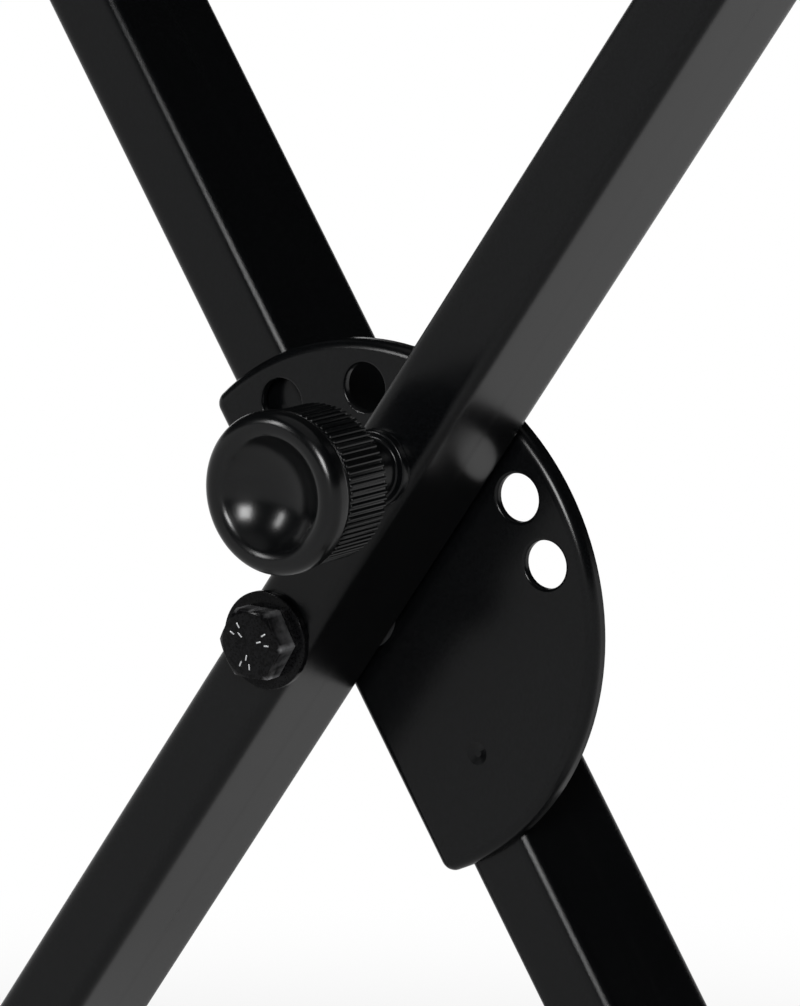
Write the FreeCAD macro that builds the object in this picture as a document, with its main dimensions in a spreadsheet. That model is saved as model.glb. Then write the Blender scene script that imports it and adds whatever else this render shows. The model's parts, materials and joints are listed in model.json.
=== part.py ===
"""Folding keyboard stand with one crossing pair of legs, in millimetres.

The front leg rises to the right and the rear leg to the left. They cross on one pivot
bolt. A pressed locking plate is welded to the rear leg, and a pull plunger on the front
leg drops into one of its index holes. Each leg carries a support arm at its top and a
foot bar at its bottom. +Z is up, -Y is the side with the knob, and the origin lies on
the floor under the middle of the stand.
"""
import FreeCAD, Part
import math
import os
import Sketcher

# One row for each driving size: name in the sheet, value, what it is.
SIZES = [
    ("opening_angle", 68, "angle between the two upper legs, degrees"),
    ("half_leg", 470, "pivot to a bar's axis, along a leg"),
    ("tube_width", 20, "leg tube across its narrow front face"),
    ("tube_depth", 40, "leg tube from front to back"),
    ("tube_wall", 1.5, "leg tube wall"),
    ("tube_corner", 3, "leg tube outside corner radius"),
    ("leg_gap", 6.5, "clear space between the two legs"),
    ("plate_clearance", 1.5, "front leg to the plate's face"),
    ("plate_radius", 70, "plate's round edge, about the pivot"),
    ("plate_edge", 15, "pivot to the plate's straight edge"),
    ("plate_sheet", 2, "plate's sheet thickness"),
    ("plate_rim", 3, "outside radius of the turned rim"),
    ("plate_tip", 3.6, "radius of the plate's two tips"),
    ("index_radius", 58, "pivot to the index holes"),
    ("index_pitch", 18, "angle from one index hole to the next, degrees"),
    ("index_count", 5, "number of index holes"),
    ("index_narrower", 2, "holes on the narrower side of the one in use"),
    ("index_hole", 6.2, "index hole radius"),
    ("index_mouth", 0.8, "rounding of an index hole's mouth"),
    ("folded_angle", 5, "angle between the folded legs, at their own index hole, degrees"),
    ("weld_dent", 3, "radius of the dent over each plate weld"),
    ("weld_floor", 1, "radius of that dent's flat bottom"),
    ("weld_depth", 0.5, "depth of that dent"),
    ("weld_side", 11.5, "weld dent, across from the leg's centre line"),
    ("weld_along", 46, "weld dent, along the leg from the pivot"),
    ("bolt_radius", 5, "pivot bolt shank"),
    ("bolt_flats", 17, "pivot bolt head and nut, across flats"),
    ("bolt_head", 6.4, "pivot bolt head height"),
    ("nut_height", 7, "hexagon of the pivot nut"),
    ("nut_collar", 3, "round locking collar of the nut"),
    ("bolt_end", 2, "bolt thread past the nut"),
    ("bolt_nose", 1, "chamfer at the bolt's end"),
    ("crown_inset", 0.425, "hexagon's flat side to the edge of its round flat top"),
    ("crown_slope", 30, "chamfer round that flat top, degrees"),
    ("collar_inset", 0.85, "hexagon's flat side to the outside of the nut's collar"),
    ("collar_edge", 1, "chamfer on the nut's collar"),
    ("running_fit", 0.08, "radial clearance of a turning shaft"),
    ("seat_fit", 0.05, "radial clearance of a fixed piece in its hole"),
    ("side_play", 0.3, "end clearance of a turning piece"),
    ("bush_radius", 7, "outside of a pivot bush"),
    ("washer_radius", 12.5, "steel pivot washers"),
    ("slip_radius", 9.5, "plastic slip washers"),
    ("washer_thick", 2, "steel pivot washers"),
    ("slip_thick", 1.2, "plastic slip washers"),
    ("pin_radius", 5.5, "locking pin"),
    ("pin_length", 25, "thick end of the locking pin"),
    ("pin_nose", 1.2, "chamfer on the locking pin"),
    ("pin_clearance", 0.3, "drawn-back pin to the plate's face"),
    ("rod_radius", 4, "rod from the locking pin to the knob"),
    ("rod_grip", 12, "rod inside the knob"),
    ("sleeve_radius", 7.5, "outside of the plunger's sleeve"),
    ("sleeve_proud", 16, "sleeve in front of the front leg"),
    ("sleeve_cap", 3, "sleeve's closed front end"),
    ("sleeve_edge", 1, "chamfer at the sleeve's front end"),
    ("sleeve_flange", 9.5, "radius of the sleeve's welded flange"),
    ("flange_thick", 2.5, "thickness of that flange"),
    ("spring_radius", 4.85, "mean radius of the plunger spring"),
    ("spring_wire", 0.5, "radius of the spring's wire"),
    ("spring_turns", 7, "turns of the plunger spring"),
    ("knob_stand", 6.2, "knob in front of the sleeve"),
    ("knob_length", 23, "knob from front to back"),
    ("knob_radius", 20, "knob's smooth front rim"),
    ("knob_lip", 3.4, "rounding of that rim"),
    ("knob_band", 6, "front of the knob to the end of its smooth band"),
    ("knob_neck", 18.3, "radius of the neck behind the smooth band"),
    ("neck_slope", 0.8, "run from the smooth band down to the neck"),
    ("knurl_start", 8.2, "front of the knob to its ribbed skirt"),
    ("knurl_radius", 19.3, "outside of the ribbed skirt"),
    ("rib_count", 72, "ribs round the skirt"),
    ("rib_depth", 0.7, "depth of the grooves between the ribs"),
    ("groove_turn", 300, "all the grooves' widths added up, degrees round the knob"),
    ("knob_edge", 1, "chamfer at the back of the knob"),
    ("dish_radius", 13.9, "edge of the thumb dish"),
    ("dish_depth", 8, "depth of the thumb dish"),
    ("dish_rim", 1.2, "front of the knob to the dish's edge"),
    ("recess_radius", 9, "recess in the knob's back"),
    ("recess_depth", 4, "depth of that recess"),
    ("insert_radius", 5.5, "threaded metal insert in the knob"),
    ("arm_radius", 12.5, "support arm tube"),
    ("arm_length", 360, "support arm tube"),
    ("foot_radius", 15, "foot bar tube"),
    ("foot_length", 440, "foot bar tube"),
    ("bar_wall", 1.5, "wall of arms and foot bars"),
    ("foot_height", 18.5, "floor to a foot bar's axis"),
    ("saddle_web", 4, "leg end to the bar in its saddle"),
    ("saddle_horn", 5, "saddle's edge below the bar's axis"),
    ("saddle_side", 3, "saddle past the bar on each side"),
    ("saddle_length", 68, "saddle along the bar"),
    ("saddle_corner", 5, "rounding of the saddle's corners"),
    ("screw_radius", 3, "bar screws"),
    ("screw_spread", 27, "bar screw to the middle of its saddle"),
    ("screw_grip", 8, "screw past the saddle's web"),
    ("screw_head", 5.25, "radius of a bar screw's head"),
    ("screw_dome", 3.3, "height of a bar screw's head"),
    ("cap_wall", 3, "rubber over an arm's end"),
    ("cap_length", 24, "rubber along an arm's end"),
    ("cap_flange", 19, "radius of an arm cap's stop flange"),
    ("cap_flange_thick", 7, "thickness of that flange"),
    ("cap_edge", 2, "rounding of that flange"),
    ("shoe_wall", 5, "rubber over a foot bar's end"),
    ("shoe_length", 34, "rubber along a foot bar's end"),
    ("shoe_edge", 3, "rounding of a foot cap's end"),
    ("grip_wall", 3, "rubber sleeve on an arm"),
    ("grip_gap", 4, "bare tube at each end of a rubber sleeve"),
]

doc = FreeCAD.newDocument("KeyboardStand")
sizes = doc.addObject("Spreadsheet::Sheet", "Sizes")


class CellNames(dict):
    """Turns {name} in a formula into a reference to that cell."""

    def __missing__(self, name):
        return "Sizes." + name


def formula(text):
    """A formula over the sheet's cells, as a property can hold it."""
    return text.format_map(CellNames())


def number(text):
    """What a formula comes to now."""
    return float(sizes.evalExpression(formula(text)))


def fill_sheet():
    """Writes the driving sizes into the sheet."""
    for row, (name, value, note) in enumerate(SIZES, start=1):
        sizes.set("A%d" % row, note)
        sizes.set("B%d" % row, str(value))
        sizes.setAlias("B%d" % row, name)
    doc.recompute()


# Places that several pieces share, as formulas.
LEAN = "{opening_angle} / 2"
PIVOT_Z = "({foot_height} + {half_leg} * cos({opening_angle} / 2))"
INNER = "({leg_gap} / 2)"
OUTER = "({leg_gap} / 2 + {tube_depth})"
PLATE_FACE = "({plate_clearance} - {leg_gap} / 2)"
LEG_MIDDLE = "({leg_gap} / 2 + {tube_depth} / 2)"
SLEEVE_FRONT = "(-%s - {sleeve_proud})" % OUTER
KNOB_BACK = "(%s - {knob_stand})" % SLEEVE_FRONT
KNOB_FRONT = "(%s - {knob_length})" % KNOB_BACK
PIN_TIP = "(%s - {pin_clearance})" % PLATE_FACE
HEAD_SEAT = "(-%s - {washer_thick})" % OUTER
NUT_SEAT = "(%s + {side_play} + {slip_thick} + {washer_thick})" % OUTER

# How far a cutting outline reaches past what it cuts.
OVERCUT = "0.2"


def negative(text):
    """The formula with its sign turned."""
    return "-(%s)" % text


# ---------------------------------------------------------------- sketches and features

def origin_part(body, role):
    """The body's own plane or axis of that role."""
    for item in body.Origin.OriginFeatures:
        if item.Role == role:
            return item
    raise ValueError("no origin part " + role)


def new_body(label):
    """An empty body, which later names the file it is written to."""
    body = doc.addObject("PartDesign::Body", label)
    body.Label = label
    return body


def new_sketch(body, role, shift="0"):
    """A sketch on one of the body's planes, moved along that plane's normal."""
    sketch = body.newObject("Sketcher::SketchObject", body.Name + "_sketch")
    sketch.AttachmentSupport = [(origin_part(body, role), "")]
    sketch.MapMode = "FlatFace"
    if shift != "0":
        sketch.setExpression("AttachmentOffset.Base.z", formula(shift))
    return sketch


def bind(sketch, kind, geometry, point, text):
    """Adds a size to the sketch and ties it to a formula."""
    places = [geometry] if point is None else [geometry, point]
    index = sketch.addConstraint(Sketcher.Constraint(kind, *places, number(text)))
    name = "size%d" % index
    sketch.renameConstraint(index, name)
    sketch.setExpression("Constraints." + name, formula(text))


class Bend:
    """An arc that leads to a corner: radius, centre and +1 for anticlockwise."""

    def __init__(self, radius, x, y, turn):
        self.radius = radius
        self.x = x
        self.y = y
        self.turn = turn


def outline(sketch, corners):
    """A closed outline: each corner is (x, y) or (x, y, Bend) in formulas."""
    points = [FreeCAD.Vector(number(corner[0]), number(corner[1]), 0) for corner in corners]
    first = sketch.GeometryCount
    ends = []
    for index, start in enumerate(points):
        target = (index + 1) % len(points)
        bend = corners[target][2] if len(corners[target]) > 2 else None
        if bend is None:
            sketch.addGeometry(Part.LineSegment(start, points[target]), False)
            ends.append((1, 2))
        else:
            ends.append(add_bend(sketch, start, points[target], bend))
    for index, (start_point, end_point) in enumerate(ends):
        following = (index + 1) % len(ends)
        sketch.addConstraint(Sketcher.Constraint(
            "Coincident", first + index, end_point, first + following, ends[following][0]))
        bind(sketch, "DistanceX", first + index, start_point, corners[index][0])
        bind(sketch, "DistanceY", first + index, start_point, corners[index][1])


def add_bend(sketch, start, end, bend):
    """One arc of an outline, and which of its points is its start and its end."""
    centre = FreeCAD.Vector(number(bend.x), number(bend.y), 0)
    low, high = (start, end) if bend.turn > 0 else (end, start)
    low_angle = math.atan2(low.y - centre.y, low.x - centre.x)
    high_angle = math.atan2(high.y - centre.y, high.x - centre.x)
    circle = Part.Circle(centre, FreeCAD.Vector(0, 0, 1), number(bend.radius))
    arc = sketch.addGeometry(Part.ArcOfCircle(circle, low_angle, high_angle), False)
    bind(sketch, "Radius", arc, None, bend.radius)
    return (1, 2) if bend.turn > 0 else (2, 1)


def circle(sketch, x, y, radius):
    """A full circle with its centre and radius tied to formulas."""
    centre = FreeCAD.Vector(number(x), number(y), 0)
    shape = Part.Circle(centre, FreeCAD.Vector(0, 0, 1), number(radius))
    index = sketch.addGeometry(shape, False)
    bind(sketch, "DistanceX", index, 3, x)
    bind(sketch, "DistanceY", index, 3, y)
    bind(sketch, "Radius", index, None, radius)


def pad(body, sketch, length, middle=False):
    """Extrudes the sketch along its normal, or half to each side."""
    feature = body.newObject("PartDesign::Pad", body.Name + "_pad")
    feature.Profile = sketch
    feature.setExpression("Length", formula(length))
    feature.Midplane = middle
    return feature


def pocket(body, sketch, length=None, reverse=False):
    """Cuts the sketch against its normal, or right through both ways."""
    before = solid_volume(body)
    feature = body.newObject("PartDesign::Pocket", body.Name + "_pocket")
    feature.Profile = sketch
    if length is None:
        feature.Type = "ThroughAll"
        feature.Midplane = True
    else:
        feature.setExpression("Length", formula(length))
        feature.Reversed = reverse
    if solid_volume(body) > before - 1e-3:
        raise ValueError(body.Label + ": a pocket cuts nothing")
    return feature


def solid_volume(body):
    """The body's volume after a recompute."""
    doc.recompute()
    return body.Shape.Volume


def revolve(body, sketch, kind="PartDesign::Revolution", axis="V_Axis"):
    """Turns the sketch once round its own upright axis."""
    feature = body.newObject(kind, body.Name + "_turn")
    feature.Profile = sketch
    feature.ReferenceAxis = (sketch, [axis])
    feature.Angle = 360
    return feature


def turned(label, corners, plane="XY_Plane"):
    """A turned piece: the outline holds radius and place along the axis."""
    body = new_body(label)
    sketch = new_sketch(body, plane)
    outline(sketch, corners)
    revolve(body, sketch)
    return body


def repeat_round(body, feature, axis, angle, count):
    """Repeats a feature round one of the body's axes."""
    pattern = body.newObject("PartDesign::PolarPattern", body.Name + "_pattern")
    pattern.Originals = [feature]
    pattern.Axis = (origin_part(body, axis), [""])
    pattern.setExpression("Angle", formula(angle))
    pattern.setExpression("Occurrences", formula(count))
    body.Tip = pattern
    return pattern


def round_edges(body, radius, wanted):
    """Rounds the edges of the body's last feature that the test picks."""
    doc.recompute()
    base = body.Tip
    names = []
    for index, edge in enumerate(base.Shape.Edges, start=1):
        if wanted(edge):
            names.append("Edge%d" % index)
    if not names:
        raise ValueError(body.Label + ": no edge to round")
    feature = body.newObject("PartDesign::Fillet", body.Name + "_round")
    feature.Base = (base, names)
    feature.setExpression("Radius", formula(radius))
    return feature


def lies_at(edge, axis, place):
    """Whether all of an edge lies in one plane across the axis."""
    box = edge.BoundBox
    low, high = {"x": (box.XMin, box.XMax), "y": (box.YMin, box.YMax),
                 "z": (box.ZMin, box.ZMax)}[axis]
    return abs(low - place) < 1e-4 and abs(high - place) < 1e-4


# ---------------------------------------------------------------------------- placement

FRONT = 1
REAR = -1


def place(body, side, along="0", across="0", upright=False):
    """Sets a piece on a leg: along it from the pivot, and from front to back."""
    axis = FreeCAD.Vector(0, side, 0)
    turn = 0 if upright else 1
    body.Placement = FreeCAD.Placement(FreeCAD.Vector(), FreeCAD.Rotation(axis, turn))
    lift = "%d * (%s)" % (side, along)
    body.setExpression("Placement.Base.x", formula("%s * sin(%s)" % (lift, LEAN)))
    body.setExpression("Placement.Base.y", formula(across))
    height = "%s + (%s) * cos(%s)" % (PIVOT_Z, along, LEAN)
    body.setExpression("Placement.Base.z", formula(height))
    if not upright:
        body.setExpression("Placement.Rotation.Angle", formula(LEAN))


# -------------------------------------------------------------------------------- forms

def rounded_box(width, depth, corner, x="0", y="0"):
    """The outline of a rounded rectangle about a middle."""
    half_x = "(%s) / 2" % width
    half_y = "(%s) / 2" % depth
    corners = []
    for sign_x, sign_y, first in ((1, 1, "x"), (-1, 1, "y"), (-1, -1, "x"), (1, -1, "y")):
        centre_x = "%s + %d * (%s - (%s))" % (x, sign_x, half_x, corner)
        centre_y = "%s + %d * (%s - (%s))" % (y, sign_y, half_y, corner)
        side_x = "%s + %d * %s" % (x, sign_x, half_x)
        side_y = "%s + %d * %s" % (y, sign_y, half_y)
        ends = [(side_x, centre_y), (centre_x, side_y)]
        if first == "y":
            ends.reverse()
        bend = Bend(corner, centre_x, centre_y, 1)
        corners.append(ends[0])
        corners.append((ends[1][0], ends[1][1], bend))
    return corners


def ring(inner, outer, low, high):
    """The outline of a ring's section: two radii and two ends."""
    return [(inner, low), (outer, low), (outer, high), (inner, high)]


def hexagon(flats):
    """A hexagon's corners, one of them to the right."""
    corners = []
    for step in range(6):
        x = "(%s) / sqrt(3) * cos(%d)" % (flats, 60 * step)
        y = "(%s) / sqrt(3) * sin(%d)" % (flats, 60 * step)
        corners.append((x, y))
    return corners


# --------------------------------------------------------------------------------- legs

ARM_END = "({half_leg} - {arm_radius} - {saddle_web})"
FOOT_END = "({half_leg} - {foot_radius} - {saddle_web})"


def make_leg(label, side):
    """A rounded rectangular tube, bored for its bush and, in front, for the plunger."""
    body = new_body(label)
    middle = "%d * %s" % (-side, LEG_MIDDLE)
    sketch = new_sketch(body, "XY_Plane", negative(FOOT_END))
    outline(sketch, rounded_box("{tube_width}", "{tube_depth}", "{tube_corner}", "0", middle))
    outline(sketch, rounded_box(
        "{tube_width} - 2 * {tube_wall}", "{tube_depth} - 2 * {tube_wall}",
        "{tube_corner} - {tube_wall}", "0", middle))
    pad(body, sketch, "%s + %s" % (ARM_END, FOOT_END))
    bores = new_sketch(body, "XZ_Plane")
    circle(bores, "0", "0", "{bush_radius} + {seat_fit}")
    if side == FRONT:
        circle(bores, "0", "{index_radius}", "{sleeve_radius} + {seat_fit}")
    pocket(body, bores)
    place(body, side)
    return body


# ------------------------------------------------------------------------ locking plate

def plate_outline(inset):
    """More than half a disc, cut straight beside the leg, with rounded tips."""
    radius = "({plate_radius} - %s)" % inset
    edge = "({plate_edge} - %s)" % inset
    tip = "({plate_tip} - %s)" % inset
    reach = "sqrt((%s - %s) ^ 2 - (%s - %s) ^ 2)" % (radius, tip, edge, tip)
    centre_x = "(%s - %s)" % (tip, edge)
    touch_x = "%s * %s / (%s - %s)" % (centre_x, radius, radius, tip)
    touch_y = "%s * %s / (%s - %s)" % (reach, radius, radius, tip)
    return [
        (negative(edge), negative(reach)),
        (touch_x, negative(touch_y), Bend(tip, centre_x, negative(reach), 1)),
        (touch_x, touch_y, Bend(radius, "0", "0", 1)),
        (negative(edge), reach, Bend(tip, centre_x, reach, 1)),
    ]


def make_plate():
    """A pressed pan with a turned rim, index holes on an arc and two weld dents."""
    body = new_body("locking_plate")
    depth = "{leg_gap} - {plate_clearance}"
    sketch = new_sketch(body, "XZ_Plane", negative(INNER))
    outline(sketch, plate_outline("0"))
    pad(body, sketch, depth)
    face = number(PLATE_FACE)
    round_edges(body, "{plate_rim}", lambda edge: lies_at(edge, "y", face))
    hollow = new_sketch(body, "XZ_Plane", negative(INNER))
    outline(hollow, plate_outline("{plate_sheet}"))
    pocket(body, hollow, "%s - {plate_sheet}" % depth, reverse=True)
    floor = number(PLATE_FACE + " + {plate_sheet}")
    round_edges(body, "{plate_rim} - {plate_sheet}", lambda edge: lies_at(edge, "y", floor))
    dents = new_sketch(body, "XY_Plane", "{weld_along}")
    dent_corners(dents)
    add_dents(body, dents)
    bore = new_sketch(body, "XZ_Plane")
    circle(bore, "0", "0", "{bolt_radius} + {running_fit}")
    pocket(body, bore)
    first = "({opening_angle} - {index_narrower} * {index_pitch})"
    repeat_round(body, index_hole(body, first), "Y_Axis",
                 "{index_pitch} * ({index_count} - 1)", "{index_count}")
    index_hole(body, "{folded_angle}")
    radius = number("{index_hole}")
    round_edges(body, "{index_mouth}", lambda edge: lies_at(edge, "y", face)
                and hasattr(edge.Curve, "Radius") and abs(edge.Curve.Radius - radius) < 1e-4)
    place(body, REAR)
    return body


def index_hole(body, angle):
    """Cuts the hole that holds the legs at an angle to each other."""
    sketch = new_sketch(body, "XZ_Plane")
    circle(sketch, "{index_radius} * sin(%s)" % angle, "{index_radius} * cos(%s)" % angle,
           "{index_hole}")
    return pocket(body, sketch)


def dent_corners(sketch):
    """Half the section of a shallow dent, against its own upright line."""
    side = "{weld_side}"
    face = PLATE_FACE
    deep = "(%s + {weld_depth})" % face
    outline(sketch, [
        (side, face + " - {weld_dent}"),
        ("%s + {weld_dent}" % side, face + " - {weld_dent}"),
        ("%s + {weld_dent}" % side, face),
        ("%s + {weld_floor}" % side, deep),
        (side, deep),
    ])


def add_dents(body, sketch):
    """Turns the dent and repeats it beyond the pivot."""
    line = sketch.addGeometry(Part.LineSegment(
        FreeCAD.Vector(number("{weld_side}"), 0, 0),
        FreeCAD.Vector(number("{weld_side}"), 1, 0)), True)
    bind(sketch, "DistanceX", line, 1, "{weld_side}")
    bind(sketch, "DistanceX", line, 2, "{weld_side}")
    bind(sketch, "DistanceY", line, 1, "0")
    bind(sketch, "DistanceY", line, 2, "1")
    before = solid_volume(body)
    dent = revolve(body, sketch, "PartDesign::Groove", "Axis0")
    mirror = body.newObject("PartDesign::Mirrored", body.Name + "_mirror")
    mirror.Originals = [dent]
    mirror.MirrorPlane = (origin_part(body, "XY_Plane"), [""])
    body.Tip = mirror
    if solid_volume(body) > before - 1:
        raise ValueError("the weld dents cut nothing")


# -------------------------------------------------------------------------------- pivot

def make_bush(label, side, low, high):
    """A steel tube that keeps the leg from crushing under the bolt."""
    body = turned(label, ring("{bolt_radius} + {running_fit}", "{bush_radius}", low, high))
    place(body, side)
    return body


def make_washer(label, radius, thickness, low):
    """A flat round washer on the pivot bolt."""
    high = "%s + %s" % (low, thickness)
    body = turned(label, ring("{bolt_radius} + {running_fit}", radius, low, high))
    place(body, FRONT)
    return body


def make_bolt():
    """A hexagon bolt with its head in front, chamfered on top."""
    body = new_body("pivot_bolt")
    head = new_sketch(body, "XZ_Plane", negative(HEAD_SEAT))
    outline(head, hexagon("{bolt_flats}"))
    pad(body, head, "{bolt_head}")
    chamfer_hexagon(body, "(%s - {bolt_head})" % HEAD_SEAT, -1)
    shank = new_sketch(body, "XY_Plane")
    end = "%s + {nut_height} + {nut_collar} + {bolt_end}" % NUT_SEAT
    outline(shank, [
        ("0", HEAD_SEAT), ("{bolt_radius}", HEAD_SEAT),
        ("{bolt_radius}", "%s - {bolt_nose}" % end),
        ("{bolt_radius} - {bolt_nose}", end), ("0", end)])
    revolve(body, shank)
    place(body, FRONT, upright=True)
    return body


def chamfer_hexagon(body, end, outward):
    """Turns away a hexagon's corners at one end, down to its round flat top."""
    corner = "({bolt_flats} / sqrt(3) + %s)" % OVERCUT
    crown = "({bolt_flats} / 2 - {crown_inset})"
    reach = "(%s - %s) * tan({crown_slope})" % (corner, crown)
    drop = "%s - %d * %s" % (end, outward, reach)
    sketch = new_sketch(body, "XY_Plane")
    outline(sketch, [(crown, end), (corner, drop), (corner, end)])
    before = solid_volume(body)
    revolve(body, sketch, "PartDesign::Groove")
    if solid_volume(body) > before - 1:
        raise ValueError(body.Label + ": the chamfer cuts nothing")


def make_nut():
    """A self-locking nut: a hexagon and a round collar behind it."""
    body = new_body("pivot_nut")
    sketch = new_sketch(body, "XZ_Plane", "-(%s + {nut_height})" % NUT_SEAT)
    outline(sketch, hexagon("{bolt_flats}"))
    circle(sketch, "0", "0", "{bolt_radius} + {seat_fit}")
    pad(body, sketch, "{nut_height}")
    chamfer_hexagon(body, NUT_SEAT, -1)
    collar = new_sketch(body, "XY_Plane")
    low = "%s + {nut_height}" % NUT_SEAT
    high = "%s + {nut_collar}" % low
    outer = "({bolt_flats} / 2 - {collar_inset})"
    outline(collar, [
        ("{bolt_radius} + {seat_fit}", low), (outer, low),
        (outer, "%s - {collar_edge}" % high),
        ("%s - {collar_edge}" % outer, high), ("{bolt_radius} + {seat_fit}", high)])
    revolve(body, collar)
    place(body, FRONT, upright=True)
    return body


# ------------------------------------------------------------------------------ plunger

SHOULDER = "(%s - {pin_length})" % PIN_TIP


def make_sleeve():
    """A welded sleeve that guides the pin and holds its spring."""
    front_face = negative(OUTER)
    bore = "{pin_radius} + {running_fit}"
    rod = "{rod_radius} + {running_fit}"
    inside = "%s + {sleeve_cap}" % SLEEVE_FRONT
    body = turned("plunger_sleeve", [
        (rod, SLEEVE_FRONT), ("{sleeve_radius} - {sleeve_edge}", SLEEVE_FRONT),
        ("{sleeve_radius}", "%s + {sleeve_edge}" % SLEEVE_FRONT),
        ("{sleeve_radius}", "%s - {flange_thick}" % front_face),
        ("{sleeve_flange}", "%s - {flange_thick}" % front_face),
        ("{sleeve_flange}", front_face), ("{sleeve_radius}", front_face),
        ("{sleeve_radius}", negative(INNER)), (bore, negative(INNER)),
        (bore, inside), (rod, inside)])
    place(body, FRONT, "{index_radius}")
    return body


def make_pin():
    """The locking pin with its chamfered nose, and the rod up into the knob."""
    rod_end = "%s - {rod_grip}" % KNOB_BACK
    body = turned("plunger_pin", [
        ("0", rod_end), ("{rod_radius}", rod_end), ("{rod_radius}", SHOULDER),
        ("{pin_radius}", SHOULDER), ("{pin_radius}", "%s - {pin_nose}" % PIN_TIP),
        ("{pin_radius} - {pin_nose}", PIN_TIP), ("0", PIN_TIP)])
    place(body, FRONT, "{index_radius}")
    return body


def make_spring():
    """The compression spring round the rod, between the sleeve's end and the pin."""
    body = new_body("plunger_spring")
    sketch = new_sketch(body, "XY_Plane")
    start = "%s + {sleeve_cap} + {spring_wire} + {seat_fit}" % SLEEVE_FRONT
    circle(sketch, "{spring_radius}", start, "{spring_wire}")
    coil = body.newObject("PartDesign::AdditiveHelix", "plunger_spring_coil")
    coil.Profile = sketch
    coil.ReferenceAxis = (sketch, ["V_Axis"])
    coil.Mode = "height-turns-angle"
    height = "%s - {spring_wire} - {seat_fit} - (%s)" % (SHOULDER, start)
    coil.setExpression("Height", formula(height))
    coil.setExpression("Turns", formula("{spring_turns}"))
    place(body, FRONT, "{index_radius}")
    return body


def make_knob():
    """A pull knob: smooth rounded rim, thumb dish, neck and finely ribbed skirt."""
    lip_x = "({knob_radius} - {knob_lip})"
    dish = "(({dish_radius} ^ 2 + ({dish_depth} - {dish_rim}) ^ 2)" \
           " / (2 * ({dish_depth} - {dish_rim})))"
    bottom = "({knob_length} - {rod_grip} - {seat_fit})"
    recess = "({knob_length} - {recess_depth})"
    body = turned("plunger_knob", [
        ("0", "{dish_depth}"),
        ("{dish_radius}", "{dish_rim}", Bend(dish, "0", "{dish_depth} - %s" % dish, -1)),
        (lip_x, "0", Bend(lip_radius(), lip_x, lip_radius(), 1)),
        ("{knob_radius}", "{knob_lip}", Bend("{knob_lip}", lip_x, "{knob_lip}", 1)),
        ("{knob_radius}", "{knob_band}"),
        ("{knob_neck}", "{knob_band} + {neck_slope}"), ("{knob_neck}", "{knurl_start}"),
        ("{knurl_radius}", "{knurl_start}"),
        ("{knurl_radius}", "{knob_length} - {knob_edge}"),
        ("{knurl_radius} - {knob_edge}", "{knob_length}"),
        ("{recess_radius}", "{knob_length}"), ("{recess_radius}", recess),
        ("{insert_radius} + {seat_fit}", recess), ("{insert_radius} + {seat_fit}", bottom),
        ("0", bottom)])
    groove = new_sketch(body, "XZ_Plane", negative("{knurl_start}"))
    swing = "{groove_turn} / (2 * {rib_count})"
    half = "{knurl_radius} * sin(%s)" % swing
    top = "{knurl_radius} * cos(%s) + %s" % (swing, OVERCUT)
    outline(groove, [
        ("0", "{knurl_radius} - {rib_depth}"), (half, top), (negative(half), top)])
    cut = pocket(body, groove, "{knob_length} - {knurl_start}")
    repeat_round(body, cut, "Y_Axis", "360", "{rib_count}")
    place(body, FRONT, "{index_radius}", KNOB_FRONT)
    return body


def lip_radius():
    """Radius of the lip's inner arc, from the dish's edge to the front of the rim."""
    run = "({knob_radius} - {knob_lip} - {dish_radius})"
    return "((%s ^ 2 + {dish_rim} ^ 2) / (2 * {dish_rim}))" % run


def make_insert():
    """The metal insert that joins the knob to the rod."""
    low = "%s - {rod_grip}" % KNOB_BACK
    high = "%s - {recess_depth}" % KNOB_BACK
    body = turned("knob_insert", ring("{rod_radius} + {seat_fit}", "{insert_radius}", low, high))
    place(body, FRONT, "{index_radius}")
    return body


# ------------------------------------------------------------------ arms and foot bars

class Bar:
    """What differs between an arm and a foot bar."""

    def __init__(self, name, end, radius, length):
        self.name = name
        self.end = end
        self.radius = radius
        self.length = length
        self.along = "%d * {half_leg}" % end
        self.seat = "%d * ({half_leg} - %s - {saddle_web})" % (end, radius)


ARM = Bar("arm", 1, "{arm_radius}", "{arm_length}")
FOOT = Bar("foot", -1, "{foot_radius}", "{foot_length}")
SIDES = (("front", FRONT), ("rear", REAR))


def leg_middle(side):
    """The leg's middle from front to back."""
    return "%d * %s" % (-side, LEG_MIDDLE)


def screw_circles(sketch, side, radius):
    """The two screws' circles, either side of the leg."""
    for sign in (-1, 1):
        circle(sketch, "0", "%s + %d * {screw_spread}" % (leg_middle(side), sign), radius)


def make_bar(bar, side_name, side):
    """A round tube across the leg's end, drilled for its two screws."""
    body = turned("%s_%s_bar" % (side_name, bar.name), ring(
        "%s - {bar_wall}" % bar.radius, bar.radius,
        "-%s / 2" % bar.length, "%s / 2" % bar.length))
    holes = new_sketch(body, "XY_Plane")
    screw_circles(holes, side, "{screw_radius} + {seat_fit}")
    pocket(body, holes, bar.radius, reverse=bar.end < 0)
    place(body, side, bar.along)
    return body


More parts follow.
